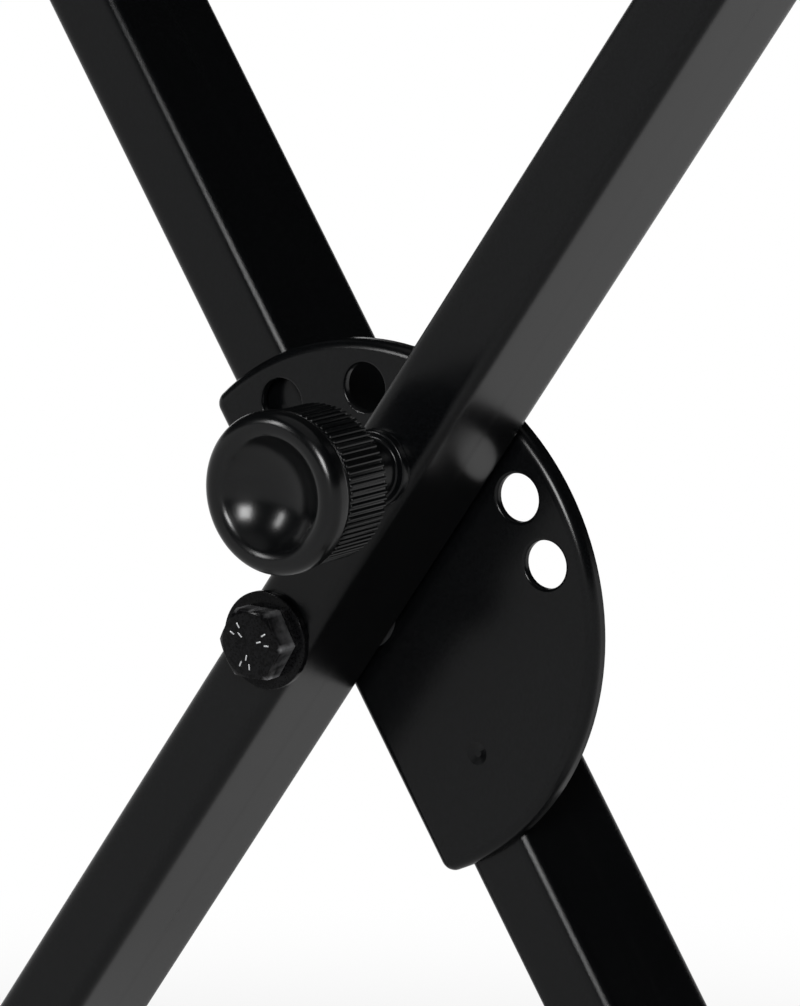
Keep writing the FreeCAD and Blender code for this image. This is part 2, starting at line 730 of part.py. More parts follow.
def make_saddle(bar, side_name, side):
    """A block welded to the leg's end, hollowed to the bar's curve."""
    body = new_body("%s_%s_saddle" % (side_name, bar.name))
    seat = "(%s + {seat_fit})" % bar.radius
    half = "(%s + {saddle_side})" % bar.radius
    inner = "sqrt(%s ^ 2 - {saddle_horn} ^ 2)" % seat
    low = "%d * (%s + {saddle_web})" % (-bar.end, bar.radius)
    top = "%d * {saddle_horn}" % -bar.end
    sketch = new_sketch(body, "XZ_Plane", negative(leg_middle(side)))
    outline(sketch, [
        (negative(half), low), (half, low), (half, top), (inner, top),
        (negative(inner), top, Bend(seat, "0", "0", -bar.end))])
    pad(body, sketch, "{saddle_length}", middle=True)
    base = number(low)
    limit = number(half)
    round_edges(body, "{saddle_corner}", lambda edge: lies_at(edge, "x", limit) and not
                lies_at(edge, "z", base) and is_upright(edge)
                or lies_at(edge, "x", -limit) and is_upright(edge))
    holes = new_sketch(body, "XY_Plane")
    screw_circles(holes, side, "{screw_radius} + {seat_fit}")
    pocket(body, holes)
    place(body, side, bar.along)
    return body


def is_upright(edge):
    """Whether an edge runs along the body's own Z."""
    box = edge.BoundBox
    return box.ZLength > 1e-3 and box.XLength < 1e-3 and box.YLength < 1e-3


def make_screw(bar, side_name, side, number_name, sign):
    """A dome-headed screw from the leg's side through saddle and bar."""
    ball = "(({screw_head} ^ 2 + {screw_dome} ^ 2) / (2 * {screw_dome}))"
    tip = "%d * ({saddle_web} + {screw_grip})" % bar.end
    body = turned("%s_%s_screw_%d" % (side_name, bar.name, number_name), [
        ("0", "%d * {screw_dome}" % -bar.end),
        ("{screw_head}", "0",
         Bend(ball, "0", "%d * (%s - {screw_dome})" % (bar.end, ball), bar.end)),
        ("{screw_radius}", "0"), ("{screw_radius}", tip), ("0", tip)], plane="XZ_Plane")
    across = "%s + %d * {screw_spread}" % (leg_middle(side), sign)
    place(body, side, bar.seat, across)
    return body


def make_arm_cap(side_name, side, end_name, sign):
    """A rubber cap over an arm's end, with a flange that stops the keyboard."""
    end = "({arm_length} / 2)"
    inner = "({arm_radius} + {seat_fit})"
    outer = "({arm_radius} + {cap_wall})"
    far = "(%s + {cap_wall})" % end
    step = "(%s - {cap_flange_thick})" % far
    round_in = "({cap_flange} - {cap_edge})"
    rows = [
        (inner, "%s - {cap_length}" % end, None), (outer, "%s - {cap_length}" % end, None),
        (outer, step, None), (round_in, step, None),
        ("{cap_flange}", "%s + {cap_edge}" % step,
         ("{cap_edge}", round_in, "%s + {cap_edge}" % step)),
        ("{cap_flange}", "%s - {cap_edge}" % far, None),
        (round_in, far, ("{cap_edge}", round_in, "%s - {cap_edge}" % far)),
        ("0", far, None), ("0", end, None), (inner, end, None)]
    body = turned("%s_arm_cap_%s" % (side_name, end_name), mirrored(rows, sign))
    place(body, side, ARM.along)
    return body


def make_foot_cap(side_name, side, end_name, sign):
    """A rubber cap over a foot bar's end, cut flat where it stands."""
    end = "({foot_length} / 2)"
    inner = "({foot_radius} + {seat_fit})"
    outer = "({foot_radius} + {shoe_wall})"
    far = "(%s + {shoe_wall})" % end
    edge = "{shoe_edge}"
    rows = [
        (inner, "%s - {shoe_length}" % end, None), (outer, "%s - {shoe_length}" % end, None),
        (outer, "%s - %s" % (far, edge), None),
        ("%s - %s" % (outer, edge), far,
         (edge, "%s - %s" % (outer, edge), "%s - %s" % (far, edge))),
        ("0", far, None), ("0", end, None), (inner, end, None)]
    body = turned("%s_foot_cap_%s" % (side_name, end_name), mirrored(rows, sign))
    sole = new_sketch(body, "XY_Plane", negative("{foot_height}"))
    outline(sole, rounded_box("4 * %s" % outer, "2 * {foot_length}", edge))
    pocket(body, sole, outer)
    place(body, side, FOOT.along, upright=True)
    return body


def mirrored(rows, sign):
    """A turned outline, as given or with its ends changed over."""
    corners = []
    for x, y, bend in rows:
        corner = [x, "%d * (%s)" % (sign, y)]
        if bend is not None:
            corner.append(Bend(bend[0], bend[1], "%d * (%s)" % (sign, bend[2]), sign))
        corners.append(tuple(corner))
    return corners


def make_grip(side_name, side, end_name, sign):
    """A rubber sleeve on an arm, where the keyboard rests."""
    start = "(%s + {saddle_length} / 2 + {grip_gap})" % LEG_MIDDLE
    end = "({arm_length} / 2 - {cap_length} - {grip_gap})"
    outer = "{arm_radius} + {grip_wall}"
    edge = "{grip_wall} / 2"
    inner = "{arm_radius} + {seat_fit}"
    rows = [
        (inner, start, None), ("%s - %s" % (outer, edge), start, None),
        (outer, "%s + %s" % (start, edge), None), (outer, "%s - %s" % (end, edge), None),
        ("%s - %s" % (outer, edge), end, None), (inner, end, None)]
    body = turned("%s_arm_grip_%s" % (side_name, end_name), mirrored(rows, sign))
    place(body, side, ARM.along)
    return body


# --------------------------------------------------------------------------------- all

def make_pivot():
    """The pivot's bushes, washers, bolt and nut, from front to back."""
    inner = negative(INNER)
    return [
        make_bush("front_pivot_bush", FRONT, negative(OUTER), inner),
        make_bush("rear_pivot_bush", REAR, "%s + {plate_sheet}" % PLATE_FACE, OUTER),
        make_bolt(),
        make_washer("pivot_front_washer", "{washer_radius}", "{washer_thick}", HEAD_SEAT),
        make_washer("pivot_middle_slip_washer", "{slip_radius}", "{slip_thick}", inner),
        make_washer("pivot_rear_slip_washer", "{slip_radius}", "{slip_thick}",
                    "%s + {side_play}" % OUTER),
        make_washer("pivot_rear_washer", "{washer_radius}", "{washer_thick}",
                    "%s + {side_play} + {slip_thick}" % OUTER),
        make_nut(),
    ]


def make_bars():
    """Both arms and both foot bars with all that is fixed to them."""
    pieces = []
    for side_name, side in SIDES:
        for bar in (ARM, FOOT):
            pieces.append(make_bar(bar, side_name, side))
            pieces.append(make_saddle(bar, side_name, side))
            for count, sign in ((1, -1), (2, 1)):
                pieces.append(make_screw(bar, side_name, side, count, sign))
        for end_name, sign in (("near", -1), ("far", 1)):
            pieces.append(make_arm_cap(side_name, side, end_name, sign))
            pieces.append(make_foot_cap(side_name, side, end_name, sign))
            pieces.append(make_grip(side_name, side, end_name, sign))
    return pieces


def check(pieces):
    """Stops if any object failed or any piece isn't one good solid."""
    for item in doc.Objects:
        if "Invalid" in item.State or "Error" in item.State:
            raise ValueError("%s did not recompute: %s" % (item.Name, item.State))
    for piece in pieces:
        shape = piece.Shape
        if shape.isNull() or not shape.isValid() or len(shape.Solids) != 1:
            raise ValueError(piece.Label + " isn't one valid solid")


def main():
    """Builds every piece and writes each to a file of its own."""
    fill_sheet()
    pieces = [make_leg("front_leg_tube", FRONT), make_leg("rear_leg_tube", REAR)]
    pieces.append(make_plate())
    pieces.extend(make_pivot())
    pieces.extend([make_sleeve(), make_pin(), make_spring(), make_knob(), make_insert()])
    pieces.extend(make_bars())
    doc.recompute()
    check(pieces)
    os.makedirs("parts", exist_ok=True)
    for piece in pieces:
        piece.Shape.exportStep("parts/%s.step" % piece.Label)
        print("%-28s %12.1f mm3" % (piece.Label, piece.Shape.Volume))


main()
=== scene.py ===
"""Looks of a folding keyboard stand: finishes, fine pieces, stage, light and camera."""

import bmesh
import bpy
import json
import math
from mathutils import Matrix, Vector


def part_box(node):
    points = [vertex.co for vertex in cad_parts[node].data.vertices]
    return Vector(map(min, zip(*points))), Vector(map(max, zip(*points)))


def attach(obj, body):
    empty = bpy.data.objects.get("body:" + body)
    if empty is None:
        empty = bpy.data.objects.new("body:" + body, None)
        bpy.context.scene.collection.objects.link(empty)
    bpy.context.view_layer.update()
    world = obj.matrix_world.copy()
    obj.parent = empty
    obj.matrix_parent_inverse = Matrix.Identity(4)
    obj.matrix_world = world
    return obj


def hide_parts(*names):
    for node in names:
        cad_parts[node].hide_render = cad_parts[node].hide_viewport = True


bl_info = {
    "name": "Keyboard stand looks",
    "version": (1, 0, 0),
    "blender": (4, 5, 0),
    "location": "View3D > Sidebar > Stand",
    "description": "Builds the fine pieces, finishes and stage of a folding keyboard stand",
    "category": "Object",
}

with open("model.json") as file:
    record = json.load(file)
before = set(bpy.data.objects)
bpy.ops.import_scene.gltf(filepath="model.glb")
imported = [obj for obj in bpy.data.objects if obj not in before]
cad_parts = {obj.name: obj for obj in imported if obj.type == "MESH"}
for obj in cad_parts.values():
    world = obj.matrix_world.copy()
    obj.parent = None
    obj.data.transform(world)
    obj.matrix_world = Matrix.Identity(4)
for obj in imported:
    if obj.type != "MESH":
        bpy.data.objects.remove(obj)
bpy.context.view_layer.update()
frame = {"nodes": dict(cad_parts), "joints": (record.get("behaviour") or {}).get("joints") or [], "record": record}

MM = 0.001
LEG_FOLD = next(joint for joint in frame["joints"] if joint["name"] == "leg_fold")
PIVOT = Vector(LEG_FOLD["pos_m"])
FRONT = 1
REAR = -1

TUBE_HALF_WIDTH = 10 * MM
TUBE_HALF_DEPTH = 20 * MM
TUBE_CORNER = 3 * MM
ARM_BAR_RADIUS = 12.5 * MM
FOOT_BAR_RADIUS = 15 * MM
ARM_BORE = 12.55 * MM
FOOT_BORE = 15.05 * MM
SADDLE_STEP = 4 * MM
BOLT_RADIUS = 5 * MM
SHARP_EDGE = math.radians(32)
RING_STEPS = 96
MIX_FIRST, MIX_SECOND, MIX_RESULT = 6, 7, 2


# ------------------------------------------------------------------------ sizes and colours

def length(name, description, millimetres):
    """A length that the panel shows in the scene's units."""
    return bpy.props.FloatProperty(
        name=name, description=description, default=millimetres * MM,
        min=0.0, precision=5, subtype="DISTANCE", unit="LENGTH")


def colour(name, description, value):
    """A plain colour."""
    return bpy.props.FloatVectorProperty(
        name=name, description=description, default=value,
        size=3, min=0.0, max=1.0, subtype="COLOR")


def count(name, description, value):
    """A whole number."""
    return bpy.props.IntProperty(name=name, description=description, default=value, min=3)


class StandSizes(bpy.types.PropertyGroup):
    """Sizes of the pieces that are built over the frame."""

    knob_radius: length("Knob rim", "Radius of the knob's smooth front rim", 20)
    knob_lip: length("Knob lip", "Rounding of the rim's outer edge", 3.4)
    knob_band: length("Knob band", "Front of the knob to the end of its smooth band", 6)
    knob_neck: length("Knob neck", "Radius of the neck behind the band", 18.3)
    skirt_start: length("Skirt start", "Front of the knob to its ribbed skirt", 8.2)
    skirt_radius: length("Skirt radius", "Outside of the ribbed skirt", 19.3)
    rib_radius: length("Rib", "Radius of one rib of the skirt", 0.62)
    rib_count: count("Ribs", "Number of ribs round the skirt", 72)
    dish_radius: length("Dish radius", "Edge of the thumb dish", 13.9)
    dish_depth: length("Dish depth", "Depth of the thumb dish", 8)
    dish_rim: length("Dish edge", "Front of the knob to the dish's edge", 1.2)
    bolt_flats: length("Hexagon", "Bolt head and nut across their flats", 17)
    crown: length("Crown", "Radius of the round flat top of bolt head and nut", 8.075)
    mark_height: length("Marks", "How far the plain ticks stand on the bolt head", 0.22)
    thread_pitch: length("Thread", "Pitch of the bolt's thread", 1.5)
    bead: length("Weld bead", "Radius of a weld bead", 1.1)
    ridge_pitch: length("Ridges", "One ridge to the next on the rubber sleeves", 3.0)
    ridge_depth: length("Ridge depth", "Depth of the grooves of the rubber sleeves", 0.7)
    socket: length("Socket", "Hexagon socket of a bar screw, across its flats", 4)


class StandColours(bpy.types.PropertyGroup):
    """Colours of the finishes."""

    coat: colour("Powder coat", "Black powder coat", (0.0007, 0.0008, 0.0009))
    coat_light: colour("Powder coat, lighter", "Lighter grain of the coat",
                       (0.0020, 0.0022, 0.0025))
    knob: colour("Knob", "Moulded plastic", (0.0008, 0.0009, 0.0010))
    oxide: colour("Black oxide", "Bolt head and washers", (0.0040, 0.0040, 0.0044))
    zinc: colour("Zinc", "Nut and screws", (0.06, 0.06, 0.065))
    steel: colour("Steel", "Pin and spring", (0.56, 0.57, 0.58))
    brass: colour("Brass", "Insert in the knob", (0.62, 0.46, 0.20))
    rubber: colour("Rubber", "End caps and sleeves", (0.014, 0.014, 0.015))
    floor: colour("Floor", "Plain pale floor", (0.82, 0.82, 0.82))


# --------------------------------------------------------------------------- shader groups

def new_group(name, inputs, outputs):
    """A shader node group with the named inputs and outputs."""
    group = bpy.data.node_groups.new(name, "ShaderNodeTree")
    for label, kind, value in inputs:
        socket = group.interface.new_socket(name=label, in_out="INPUT", socket_type=kind)
        socket.default_value = value
    for label, kind in outputs:
        group.interface.new_socket(name=label, in_out="OUTPUT", socket_type=kind)
    return Nodes(group)


class Nodes:
    """Adds nodes to a tree and links them from left to right."""

    def __init__(self, tree):
        self.tree = tree
        self.column = 0

    def add(self, kind, values=None, **settings):
        """A node with its settings, and its inputs set or linked."""
        node = self.tree.nodes.new(kind)
        node.location = (self.column * 180, 0)
        self.column += 1
        for key, value in settings.items():
            setattr(node, key, value)
        for key, value in (values or {}).items():
            socket = node.inputs[key]
            if isinstance(value, bpy.types.NodeSocket):
                self.tree.links.new(value, socket)
            else:
                socket.default_value = value
        return node

    def math(self, operation, first, second=0.0, third=0.0, clamp=False):
        """The result of a Math node."""
        values = {0: first, 1: second, 2: third}
        return self.add("ShaderNodeMath", values, operation=operation,
                        use_clamp=clamp).outputs[0]

    def ranged(self, value, low, high, to_low, to_high, smooth=False):
        """A value carried from one range to another."""
        kind = "SMOOTHSTEP" if smooth else "LINEAR"
        return self.add("ShaderNodeMapRange", {
            "Value": value, "From Min": low, "From Max": high,
            "To Min": to_low, "To Max": to_high}, interpolation_type=kind).outputs["Result"]

    def mixed(self, share, first, second):
        """Two colours mixed by a share."""
        node = self.add("ShaderNodeMix", {"Factor": share}, data_type="RGBA")
        for index, value in ((MIX_FIRST, first), (MIX_SECOND, second)):
            socket = node.inputs[index]
            if isinstance(value, bpy.types.NodeSocket):
                self.tree.links.new(value, socket)
            else:
                socket.default_value = (*value, 1.0)
        return node.outputs[MIX_RESULT]


def grain_group():
    """Fine pebbled surface of a sprayed or moulded finish."""
    nodes = new_group("Fine grain", [
        ("Scale", "NodeSocketFloat", 1800.0), ("Waves", "NodeSocketFloat", 0.3)],
        [("Height", "NodeSocketFloat"), ("Tone", "NodeSocketFloat")])
    entry = nodes.add("NodeGroupInput")
    place = nodes.add("ShaderNodeTexCoord").outputs["Object"]
    fine = nodes.add("ShaderNodeTexNoise", {
        "Vector": place, "Scale": entry.outputs["Scale"], "Detail": 2.0,
        "Roughness": 0.6}).outputs["Fac"]
    coarse_scale = nodes.math("MULTIPLY", entry.outputs["Scale"], 0.12)
    coarse = nodes.add("ShaderNodeTexNoise", {
        "Vector": place, "Scale": coarse_scale, "Detail": 2.0}).outputs["Fac"]
    height = nodes.math("MULTIPLY_ADD", coarse, entry.outputs["Waves"], fine)
    tone = nodes.ranged(fine, 0.38, 0.62, 0.0, 1.0)
    nodes.add("NodeGroupOutput", {"Height": height, "Tone": tone})


def smudge_group():
    """Broad soft patches, where hands and cloths have been."""
    nodes = new_group("Smudges", [
        ("Scale", "NodeSocketFloat", 25.0), ("Contrast", "NodeSocketFloat", 1.0)],
        [("Mask", "NodeSocketFloat")])
    entry = nodes.add("NodeGroupInput")
    place = nodes.add("ShaderNodeTexCoord").outputs["Object"]
    cloud = nodes.add("ShaderNodeTexNoise", {
        "Vector": place, "Scale": entry.outputs["Scale"], "Detail": 5.0,
        "Roughness": 0.6, "Distortion": 0.6}).outputs["Fac"]
    centred = nodes.math("SUBTRACT", cloud, 0.5)
    mask = nodes.math("MULTIPLY_ADD", centred, entry.outputs["Contrast"], 0.5, clamp=True)
    nodes.add("NodeGroupOutput", {"Mask": mask})


def edge_group():
    """Where a piece's edges have been rubbed bright."""
    nodes = new_group("Rubbed edges", [
        ("Start", "NodeSocketFloat", 0.54), ("End", "NodeSocketFloat", 0.60),
        ("Breakup", "NodeSocketFloat", 400.0)], [("Mask", "NodeSocketFloat")])
    entry = nodes.add("NodeGroupInput")
    point = nodes.add("ShaderNodeNewGeometry").outputs["Pointiness"]
    place = nodes.add("ShaderNodeTexCoord").outputs["Object"]
    noise = nodes.add("ShaderNodeTexNoise", {
        "Vector": place, "Scale": entry.outputs["Breakup"], "Detail": 3.0}).outputs["Fac"]
    edge = nodes.add("ShaderNodeMapRange", {
        "Value": point, "From Min": entry.outputs["Start"],
        "From Max": entry.outputs["End"]}).outputs["Result"]
    chips = nodes.ranged(noise, 0.35, 0.6, 0.25, 1.0)
    nodes.add("NodeGroupOutput", {"Mask": nodes.math("MULTIPLY", edge, chips, clamp=True)})


def seam_group():
    """The faint lengthwise seam that a rolled tube keeps under its coat."""
    nodes = new_group("Tube seam", [
        ("Across", "NodeSocketFloat", 0.0), ("Width", "NodeSocketFloat", 0.0022)],
        [("Line", "NodeSocketFloat")])
    entry = nodes.add("NodeGroupInput")
    place = nodes.add("ShaderNodeTexCoord").outputs["Object"]
    parts = nodes.add("ShaderNodeSeparateXYZ", {"Vector": place}).outputs
    distance = nodes.math("ABSOLUTE", nodes.math("SUBTRACT", parts["Y"],
                                                 entry.outputs["Across"]))
    share = nodes.math("DIVIDE", distance, entry.outputs["Width"])
    line = nodes.ranged(share, 0.0, 1.0, 1.0, 0.0, smooth=True)
    nodes.add("NodeGroupOutput", {"Line": line})


class Finish:
    """A Principled material whose colour, gloss and surface change over a piece."""

    def __init__(self, name, constants):
        self.material = bpy.data.materials.new(name)
        self.material.use_nodes = True
        tree = self.material.node_tree
        tree.nodes.clear()
        self.nodes = Nodes(tree)
        self.shader = self.nodes.add("ShaderNodeBsdfPrincipled", constants)
        self.output = self.nodes.add("ShaderNodeOutputMaterial")
        tree.links.new(self.shader.outputs["BSDF"], self.output.inputs["Surface"])

    def group(self, name, values):
        """One of the shared groups with its own values."""
        node = self.nodes.add("ShaderNodeGroup", node_tree=bpy.data.node_groups[name])
        for key, value in values.items():
            node.inputs[key].default_value = value
        return node.outputs

    def link(self, value, socket):
        """Leads a value to one of the shader's sockets."""
        self.nodes.tree.links.new(value, self.shader.inputs[socket])

    def bump(self, height, strength, distance, under=None):
        """Leads a height, over another normal where there is one, to the shader's normal."""
        node = self.nodes.add("ShaderNodeBump", {
            "Height": height, "Strength": strength, "Distance": distance})
        if under is not None:
            self.nodes.tree.links.new(under, node.inputs["Normal"])
        self.link(node.outputs["Normal"], "Normal")


def coat_finish(name, colours, seam=None):
    """Fine-textured semi-gloss powder coat."""
    finish = Finish(name, {"Specular IOR Level": 0.14})
    grain = finish.group("Fine grain", {"Scale": 2100.0, "Waves": 0.5})
    smudge = finish.group("Smudges", {"Scale": 18.0, "Contrast": 1.6})
    nodes = finish.nodes
    tone = nodes.mixed(grain["Tone"], colours.coat, colours.coat_light)
    rough = nodes.ranged(smudge["Mask"], 0.0, 1.0, 0.18, 0.26)
    corner = None
    if seam is not None:
        line = finish.group("Tube seam", {"Across": seam})["Line"]
        rough = nodes.math("MULTIPLY_ADD", line, 0.04, rough)
        corner = nodes.add("ShaderNodeBevel", {"Radius": 0.004}, samples=8).outputs["Normal"]
    finish.link(tone, "Base Color")
    finish.link(rough, "Roughness")
    finish.bump(grain["Height"], 0.25, 0.00002, corner)


def plastic_finish(name, colours):
    """Satin moulded plastic of the knob."""
    finish = Finish(name, {"Specular IOR Level": 0.2})
    grain = finish.group("Fine grain", {"Scale": 2600.0, "Waves": 0.4})
    smudge = finish.group("Smudges", {"Scale": 60.0, "Contrast": 1.4})
    nodes = finish.nodes
    lighter = [2.0 * part for part in colours.knob]
    finish.link(nodes.mixed(grain["Tone"], colours.knob, lighter), "Base Color")
    finish.link(nodes.ranged(smudge["Mask"], 0.0, 1.0, 0.18, 0.27), "Roughness")
    finish.bump(grain["Height"], 0.3, 0.00002)


def oxide_finish(name, colours):
    """Oiled black oxide on the bolt and its washers, rubbed bright on their edges."""
    finish = Finish(name, {"Specular IOR Level": 0.06})
    grain = finish.group("Fine grain", {"Scale": 1500.0, "Waves": 0.8})
    rubbed = finish.group("Rubbed edges", {"Start": 0.54, "End": 0.60})["Mask"]
    smudge = finish.group("Smudges", {"Scale": 220.0, "Contrast": 1.8})
    nodes = finish.nodes
    dark = [0.25 * part for part in colours.oxide]
    body = nodes.mixed(grain["Tone"], dark, colours.oxide)
    finish.link(nodes.mixed(rubbed, body, (0.34, 0.34, 0.35)), "Base Color")
    finish.link(nodes.ranged(smudge["Mask"], 0.0, 1.0, 0.12, 0.24), "Roughness")
    finish.link(nodes.ranged(rubbed, 0.0, 1.0, 0.0, 0.9), "Metallic")
    finish.bump(grain["Height"], 0.12, 0.00001)


def metal_finish(name, tint, low, high):
    """Plated or turned metal with a fine uneven lustre."""
    finish = Finish(name, {"Metallic": 1.0})
    grain = finish.group("Fine grain", {"Scale": 900.0, "Waves": 0.6})
    smudge = finish.group("Smudges", {"Scale": 150.0, "Contrast": 2.0})
    nodes = finish.nodes
    darker = [0.7 * part for part in tint]
    finish.link(nodes.mixed(smudge["Mask"], darker, tint), "Base Color")
    finish.link(nodes.ranged(smudge["Mask"], 0.0, 1.0, high, low), "Roughness")
    finish.bump(grain["Height"], 0.25, 0.00002)


def rubber_finish(name, tint, pores):
    """Matt rubber with a dull bloom, or the pores of foam rubber."""
    finish = Finish(name, {"Specular IOR Level": 0.3})
    grain = finish.group("Fine grain", {"Scale": 900.0 if pores else 1400.0, "Waves": 0.6})
    smudge = finish.group("Smudges", {"Scale": 30.0, "Contrast": 1.5})
    nodes = finish.nodes
    bloom = [1.7 * part + 0.004 for part in tint]
    finish.link(nodes.mixed(smudge["Mask"], tint, bloom), "Base Color")
    finish.link(nodes.ranged(grain["Tone"], 0.0, 1.0, 0.62, 0.85), "Roughness")
    finish.bump(grain["Height"], 0.9 if pores else 0.5, 0.0001 if pores else 0.00004)


# --------------------------------------------------------------------------- mesh helpers

def leg_place(side):
    """Turns a piece made about a leg's own axes into its place on that leg."""
    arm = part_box("front_arm_bar")
    middle = (arm[0] + arm[1]) / 2
    lean = math.atan2(middle.x - PIVOT.x, middle.z - PIVOT.z)
    return Matrix.Translation(PIVOT) @ Matrix.Rotation(side * lean, 4, "Y")


def half_leg():
    """Pivot to a bar's axis, along a leg."""
    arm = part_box("front_arm_bar")
    middle = (arm[0] + arm[1]) / 2
    return math.hypot(middle.x - PIVOT.x, middle.z - PIVOT.z)


def middle_of(node):
    """The middle of a node's box."""
    low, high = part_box(node)
    return (low + high) / 2


def softened(points, steps=4, closed=False):
    """Rounds the corners of an outline whose points may carry a third, their cut length."""
    result = []
    total = len(points)
    for index, point in enumerate(points):
        here = Vector(point[:2])
        cut = point[2] if len(point) > 2 else 0.0
        inner = closed or 0 < index < total - 1
        if not cut or not inner:
            result.append(here)
            continue
        before = Vector(points[index - 1][:2]) - here
        after = Vector(points[(index + 1) % total][:2]) - here
        start = here + before.normalized() * min(cut, before.length * 0.5)
        end = here + after.normalized() * min(cut, after.length * 0.5)
        for step in range(steps + 1):
            share = step / steps
            result.append(start.lerp(here, share).lerp(here.lerp(end, share), share))
    return result


def arc(centre, radius, start, end, steps):
    """Points on an arc between two angles in degrees."""
    points = []
    for step in range(steps + 1):
        angle = math.radians(start + (end - start) * step / steps)
        points.append((centre[0] + radius * math.cos(angle),
                       centre[1] + radius * math.sin(angle)))
    return points


def turned(points, steps=96, closed=False):
    """A mesh turned from an outline of radius and place along the Y axis."""
    mesh = bmesh.new()
    turn_into(mesh, points, steps, closed)
    return mesh


def turn_into(mesh, points, steps, closed):
    """Turns an outline once round the Y axis inside a mesh."""
    verts = [mesh.verts.new((point[0], point[1], 0)) for point in points]
    edges = [mesh.edges.new(pair) for pair in zip(verts, verts[1:])]
    if closed:
        edges.append(mesh.edges.new((verts[-1], verts[0])))
    bmesh.ops.spin(mesh, geom=verts + edges, cent=(0, 0, 0), axis=(0, 1, 0),
                   angle=2 * math.pi, steps=steps, use_merge=True)
    bmesh.ops.remove_doubles(mesh, verts=mesh.verts, dist=1e-7)


def finished(mesh, name, material, body, replaced, place):
    """Turns a mesh into a piece that rides on a body and has its finish."""
    bmesh.ops.remove_doubles(mesh, verts=mesh.verts, dist=1e-7)
    bmesh.ops.transform(mesh, matrix=place, verts=mesh.verts)
    bmesh.ops.recalc_face_normals(mesh, faces=mesh.faces)
    for face in mesh.faces:
        face.smooth = True
    for edge in mesh.edges:
        if len(edge.link_faces) == 2 and edge.calc_face_angle() > SHARP_EDGE:
            edge.smooth = False
    data = bpy.data.meshes.new(name)
    mesh.to_mesh(data)
    mesh.free()
    data.materials.append(bpy.data.materials[material])
    piece = bpy.data.objects.new(name, data)
    bpy.context.scene.collection.objects.link(piece)
    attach(piece, body)
    for node in replaced:
        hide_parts(node)


def hexagon_reach(flats, angle):
    """Middle of a hexagon to its outline, a corner lying at angle zero."""
    turn = (angle + math.pi / 6) % (math.pi / 3) - math.pi / 6
    return flats / 2 / math.cos(math.pi / 6 - abs(turn))


def hexagon_ring(mesh, flats, radius, height):
    """A ring at a height along Y: round, or a hexagon where flats is given."""
    ring = bmesh.ops.create_circle(mesh, radius=1.0, segments=RING_STEPS)["verts"]
    for vert in ring:
        angle = math.atan2(vert.co.y, vert.co.x)
        reach = hexagon_reach(flats, angle) if flats else radius
        level = height(reach) if callable(height) else height
        vert.co = (reach * math.cos(angle), level, reach * math.sin(angle))
    return ring


def ring_edges(ring):
    """The edges that join a ring's own vertices."""
    members = set(ring)
    return [edge for edge in {edge for vert in ring for edge in vert.link_edges}
            if all(vert in members for vert in edge.verts)]


def skin(mesh, rings):
    """Joins each ring to the next."""
    for first, second in zip(rings, rings[1:]):
        bmesh.ops.bridge_loops(mesh, edges=ring_edges(first) + ring_edges(second))


# --------------------------------------------------------------------------------- pieces

class PieceOperator(bpy.types.Operator):
    """Base of the operators that build a piece."""

    bl_options = {"REGISTER", "UNDO"}

    def execute(self, context):
        """Builds the piece from the scene's sizes."""
        self.build(context.scene.stand_sizes)
        return {"FINISHED"}


class STAND_OT_finishes(bpy.types.Operator):
    """Make every finish and give the frame's own nodes theirs"""

    bl_idname = "stand.finishes"
    bl_label = "Finishes"

    def execute(self, context):
        """Builds the shared groups, then the materials."""
        colours = context.scene.stand_colours
        grain_group()
        smudge_group()
        edge_group()
        seam_group()
        tube_middle = middle_of("front_leg_tube").y
        coat_finish("Powder coat", colours)
        coat_finish("Powder coat, front tube", colours, seam=tube_middle + 0.001)
        coat_finish("Powder coat, rear tube", colours, seam=-tube_middle + 0.001)
        plastic_finish("Knob plastic", colours)
        oxide_finish("Black oxide", colours)
        metal_finish("Dull zinc", colours.zinc, 0.22, 0.38)
        metal_finish("Worn steel", colours.steel, 0.25, 0.45)
        metal_finish("Bright steel", colours.steel, 0.16, 0.32)
        metal_finish("Turned brass", colours.brass, 0.18, 0.34)
        rubber_finish("Cap rubber", colours.rubber, pores=False)
        rubber_finish("Sleeve rubber", colours.rubber, pores=True)
        rubber_finish("Slip plastic", colours.rubber, pores=False)
        by_slot = {
            "black_powder_coat": "Powder coat", "knob_plastic": "Knob plastic",
            "dark_zinc": "Dull zinc", "bright_steel": "Bright steel",
            "insert_brass": "Turned brass", "slip_plastic": "Slip plastic",
            "cap_rubber": "Cap rubber", "grip_rubber": "Sleeve rubber"}
        own = {"front_leg_tube": "Powder coat, front tube",
               "rear_leg_tube": "Powder coat, rear tube"}
        slots = {part["node"]: part["material_slot"] for part in frame["record"]["subparts"]}
        for node, piece in frame["nodes"].items():
            material = bpy.data.materials[own.get(node, by_slot[slots[node]])]
            if not piece.material_slots:
                piece.data.materials.append(material)
            for slot in piece.material_slots:
                slot.material = material
        return {"FINISHED"}


